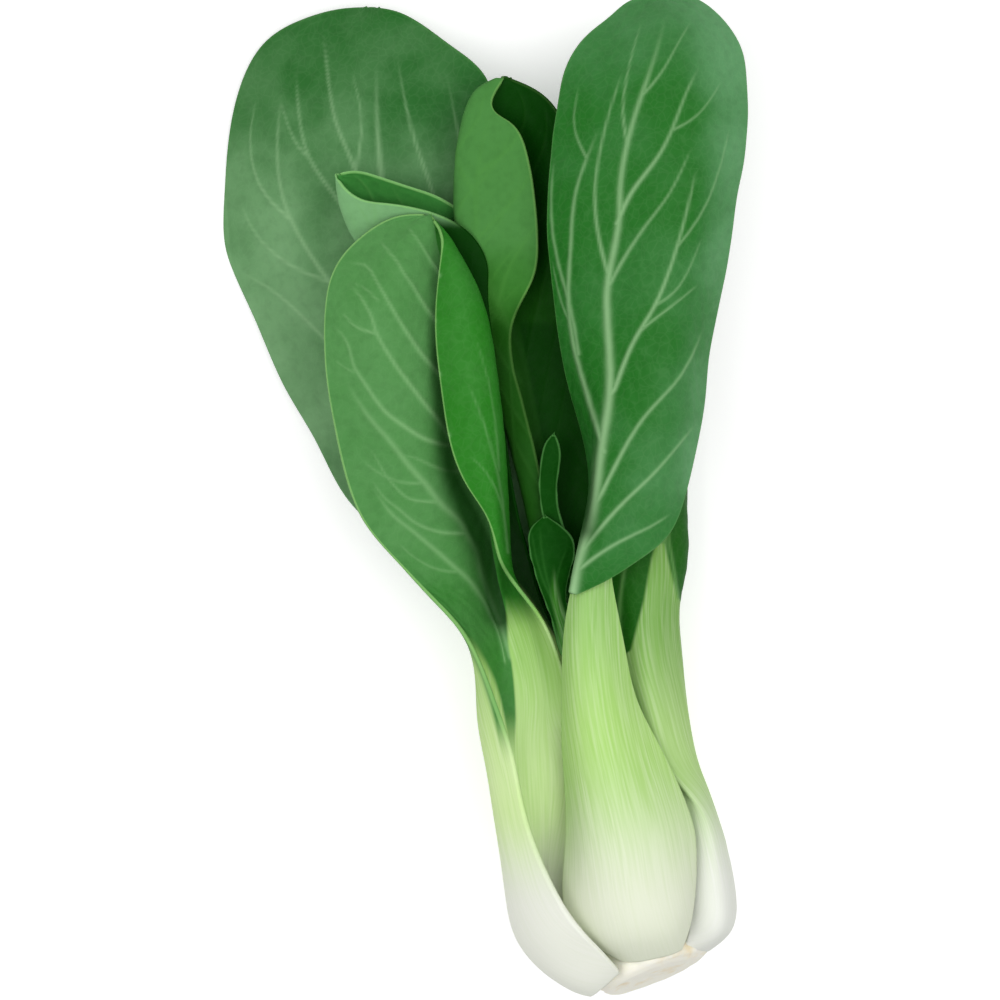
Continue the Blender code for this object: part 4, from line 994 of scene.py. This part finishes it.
SMALL_HEART_LEAF = {
    "rails": [
        [(7.2, -108.6, 31), (8, -80, 29.8), (8, -52, 30), at(578, 620, 34.3), at(556, 560, 35),
         at(540, 500, 36), at(541, 460, 37.2), at(546, 442, 37.6)],
        [(8, -108.6, 30.3), (9.5, -80, 29.5), (10, -52, 29.8), at(588, 620, 34), at(565, 560, 34.8),
         at(549, 500, 36.2), at(550, 460, 37.6), at(551, 441, 38)],
        [(8.8, -108.6, 29.6), (11, -80, 29.2), (12, -52, 29.5), at(598, 620, 33), at(575, 560, 34.6),
         at(557, 500, 36), at(560, 458, 37.4), at(558, 443, 37.8)],
    ],
    "tip": at(554, 433, 38),
    "middle": [(0, 1.0), (0.5, 1.2), (1, 0.9)],
    "edge": [(0, 0.9), (0.5, 0.8), (1, 0.7)],
    "last": 0.994,
    "up": -1.0,
    "wave": (0.2, 3.0, 0.4),
    "split": 1.0,
}
# The blades' near-black green is partly the young leaves' own deep green and partly painted shade of the
# gap.
heart_skin = leaf_material(
    "heart_leaf_skin", 0.04,
    foot=srgb(210, 230, 180), middle=srgb(150, 200, 110), top=srgb(60, 130, 36),
    foot_row=0.93, middle_row=0.82, top_row=0.70,
    blade=srgb(6, 60, 4), blade_light=srgb(16, 80, 10), under=srgb(20, 80, 14),
    vein=srgb(70, 140, 60), margin=srgb(104, 170, 92), edge=0.4, streak=0.5, vein_share=0.4, sheen=0.55,
)
heart_veins = [
    (0.5, 0.3, 0.7, [(566, 640), (556, 610), (546, 575), (541, 545), (540, 526)]),
    (0.4, 0.25, 0.6, [(560, 625), (556, 592), (560, 566), (568, 545)]),
    (0.4, 0.25, 0.6, [(552, 600), (541, 575), (534, 548), (531, 530)]),
]
heart_patch = leaf_patch(HEART_LEAF, 210, 34, heart_veins, low_stalk, ruffle=(0.25, 20.0))
heart_leaf = leaf_piece("leaf_heart", [heart_patch], heart_skin)
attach(heart_leaf, "root")
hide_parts("heart_leaf_stalk")

small_heart_patch = leaf_patch(SMALL_HEART_LEAF, 180, 22, [], low_stalk, ruffle=(0.2, 20.0))
small_heart_leaf = leaf_piece("leaf_small_heart", [small_heart_patch], heart_skin)
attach(small_heart_leaf, "root")
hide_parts("small_heart_leaf_stalk")

# Stem base
# The short core that every leaf grows from. Its end is the knife's cut: cream, nearly flat,
# with the outlines of the leaf feet round a denser middle.

BASE_CENTRE = (2.0, 29.0)
BASE_RINGS = [(-123.6, 0.4), (-123.6, 3.0), (-123.65, 6.5), (-123.65, 10.0), (-123.6, 12.2), (-123.3, 13.1),
              (-122.8, 13.7), (-121.8, 14.1), (-120.5, 14.2), (-118, 13.6), (-114, 11.5),
              (-109.2, 8.0), (-109, 1.0)]
BASE_SIDES = 144
# The cut end leans back at its top and turns to the right, up to where the core is straight.
CUT_TILT = np.tan(np.radians(11.0))
CUT_TURN = np.tan(np.radians(11.0))
CUT_END, STRAIGHT_FROM = -123.6, -114.0

base_shape = smooth_path([(y, r, 0.0) for y, r in BASE_RINGS], np.linspace(0, 1, 60))
base_angle = np.linspace(0, 2 * np.pi, BASE_SIDES, endpoint=False)
base_rings = []
for along, radius, _ in base_shape:
    lobes = 1 + 0.035 * np.sin(5 * base_angle + 0.6) * soft_step(6, 13, radius)
    lobes += 0.012 * np.sin(13 * base_angle + 1.7) * soft_step(6, 13, radius)
    x = BASE_CENTRE[0] + radius * lobes * np.sin(base_angle)
    z = BASE_CENTRE[1] + radius * lobes * np.cos(base_angle)
    share = np.interp(along, [CUT_END, STRAIGHT_FROM], [1.0, 0.0])
    slope = CUT_TILT * (z - BASE_CENTRE[1]) + CUT_TURN * (x - BASE_CENTRE[0])
    groove = 0.2 * np.sin(1.5 * radius + 0.8 * np.sin(3 * base_angle)) * (along < CUT_END + 0.4)
    base_rings.append(np.stack([x, along + share * slope + groove, z], axis=1))
base_points = (np.concatenate(base_rings) - HEAD_CENTRE) * MM
ring_start = BASE_SIDES * np.arange(len(base_rings) - 1)[:, None]
first_side = np.arange(BASE_SIDES)[None, :]
next_side = (first_side + 1) % BASE_SIDES
base_faces = np.stack(
    [ring_start + first_side, ring_start + next_side, ring_start + next_side + BASE_SIDES,
     ring_start + first_side + BASE_SIDES], -1
).reshape(-1, 4).tolist()
base_faces.append(list(range(BASE_SIDES))[::-1])
base_faces.append(list(range(len(base_points) - BASE_SIDES, len(base_points))))
base_mesh = bpy.data.meshes.new("stem_core")
base_mesh.from_pydata(base_points.tolist(), [], base_faces)
base_mesh.polygons.foreach_set("use_smooth", np.ones(len(base_faces), bool))
cut_skin = bpy.data.materials.new("cut_skin")
cut_skin.use_nodes = True
cut_tree = cut_skin.node_tree
cut_shader = cut_tree.nodes["Principled BSDF"]
cut_place = cut_tree.nodes.new("ShaderNodeTexCoord")
cut_noise = cut_tree.nodes.new("ShaderNodeTexNoise")
cut_noise.inputs["Scale"].default_value = 160.0
cut_noise.inputs["Detail"].default_value = 5.0
cut_colours = cut_tree.nodes.new("ShaderNodeValToRGB")
cut_colours.color_ramp.elements[0].position = 0.30
cut_colours.color_ramp.elements[0].color = srgb(238, 222, 184)
cut_colours.color_ramp.elements[1].position = 0.50
cut_colours.color_ramp.elements[1].color = srgb(250, 247, 232)
cut_bump = cut_tree.nodes.new("ShaderNodeBump")
cut_bump.inputs["Strength"].default_value = 0.4
cut_bump.inputs["Distance"].default_value = 0.0005
cut_tree.links.new(cut_place.outputs["Object"], cut_noise.inputs["Vector"])
cut_tree.links.new(cut_noise.outputs["Fac"], cut_colours.inputs["Fac"])
cut_tree.links.new(cut_noise.outputs["Fac"], cut_bump.inputs["Height"])
cut_tree.links.new(cut_colours.outputs["Color"], cut_shader.inputs["Base Color"])
cut_tree.links.new(cut_bump.outputs["Normal"], cut_shader.inputs["Normal"])
cut_shader.inputs["Roughness"].default_value = 0.55
cut_shader.inputs["Subsurface Weight"].default_value = 0.2
cut_shader.inputs["Subsurface Radius"].default_value = (1.0, 0.9, 0.6)
cut_shader.inputs["Subsurface Scale"].default_value = 0.002
base_mesh.materials.append(cut_skin)
stem_core = bpy.data.objects.new("stem_core", base_mesh)
bpy.context.scene.collection.objects.link(stem_core)
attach(stem_core, "root")
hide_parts("stem_base")

# Floor, light and camera
# A plain white floor under the head, a large soft light over it, and a far camera above.

FLOOR_GLOW = 0.35
SOFT_BOX_SIDE, SOFT_BOX_HEIGHT = 0.45, 1.25
SOFT_BOX_LEAN = np.radians(20)

bpy.ops.mesh.primitive_plane_add(size=6.0, location=(0, 0, -0.0002))
floor = bpy.context.object
floor.name = "floor"
floor_paint = bpy.data.materials.new("floor_paint")
floor_paint.use_nodes = True
floor_tree = floor_paint.node_tree
floor_shader = floor_tree.nodes["Principled BSDF"].inputs
floor_shader["Base Color"].default_value = (0.95, 0.95, 0.95, 1)
floor_shader["Roughness"].default_value = 0.9
floor_shader["Specular IOR Level"].default_value = 0.1
floor_shader["Emission Color"].default_value = (1, 1, 1, 1)
# The floor glows a little where it is looked at directly, so that it is as white as paper.
seen_directly = floor_tree.nodes.new("ShaderNodeLightPath").outputs["Is Camera Ray"]
glow = floor_tree.nodes.new("ShaderNodeMath")
glow.operation = "MULTIPLY"
glow.inputs[1].default_value = FLOOR_GLOW
floor_tree.links.new(seen_directly, glow.inputs[0])
floor_tree.links.new(glow.outputs[0], floor_shader["Emission Strength"])
floor.data.materials.append(floor_paint)

world = bpy.data.worlds.new("studio")
world.use_nodes = True
world.node_tree.nodes["Background"].inputs["Color"].default_value = (1.0, 1.0, 1.0, 1)
world.node_tree.nodes["Background"].inputs["Strength"].default_value = 0.38
bpy.context.scene.world = world

for side, energy in ((-1, 6.5), (1, 7.5)):
    bpy.ops.object.light_add(type="AREA", location=(SOFT_BOX_SIDE * side, 0.0, SOFT_BOX_HEIGHT))
    soft_box = bpy.context.object
    soft_box.name = f"soft_box_{'left' if side < 0 else 'right'}"
    soft_box.data.shape = "DISK"
    soft_box.data.size = 1.0
    soft_box.data.energy = energy
    soft_box.rotation_euler = (0.0, SOFT_BOX_LEAN * side, 0.0)

CAMERA_HEIGHT = 3.0
FRAME_WIDTH = 0.25
FRAME_LEVEL = 0.03
camera_data = bpy.data.cameras.new("camera")
camera_data.sensor_width = 36.0
camera_data.lens = camera_data.sensor_width * (CAMERA_HEIGHT - FRAME_LEVEL) / FRAME_WIDTH
camera = bpy.data.objects.new("camera", camera_data)
camera.location = (-0.01091, -0.00049, CAMERA_HEIGHT)
camera.rotation_euler = (0.0, 0.0, -SHEET_TILT)
bpy.context.scene.collection.objects.link(camera)
bpy.context.scene.camera = camera
bpy.context.scene.view_settings.view_transform = "Standard"
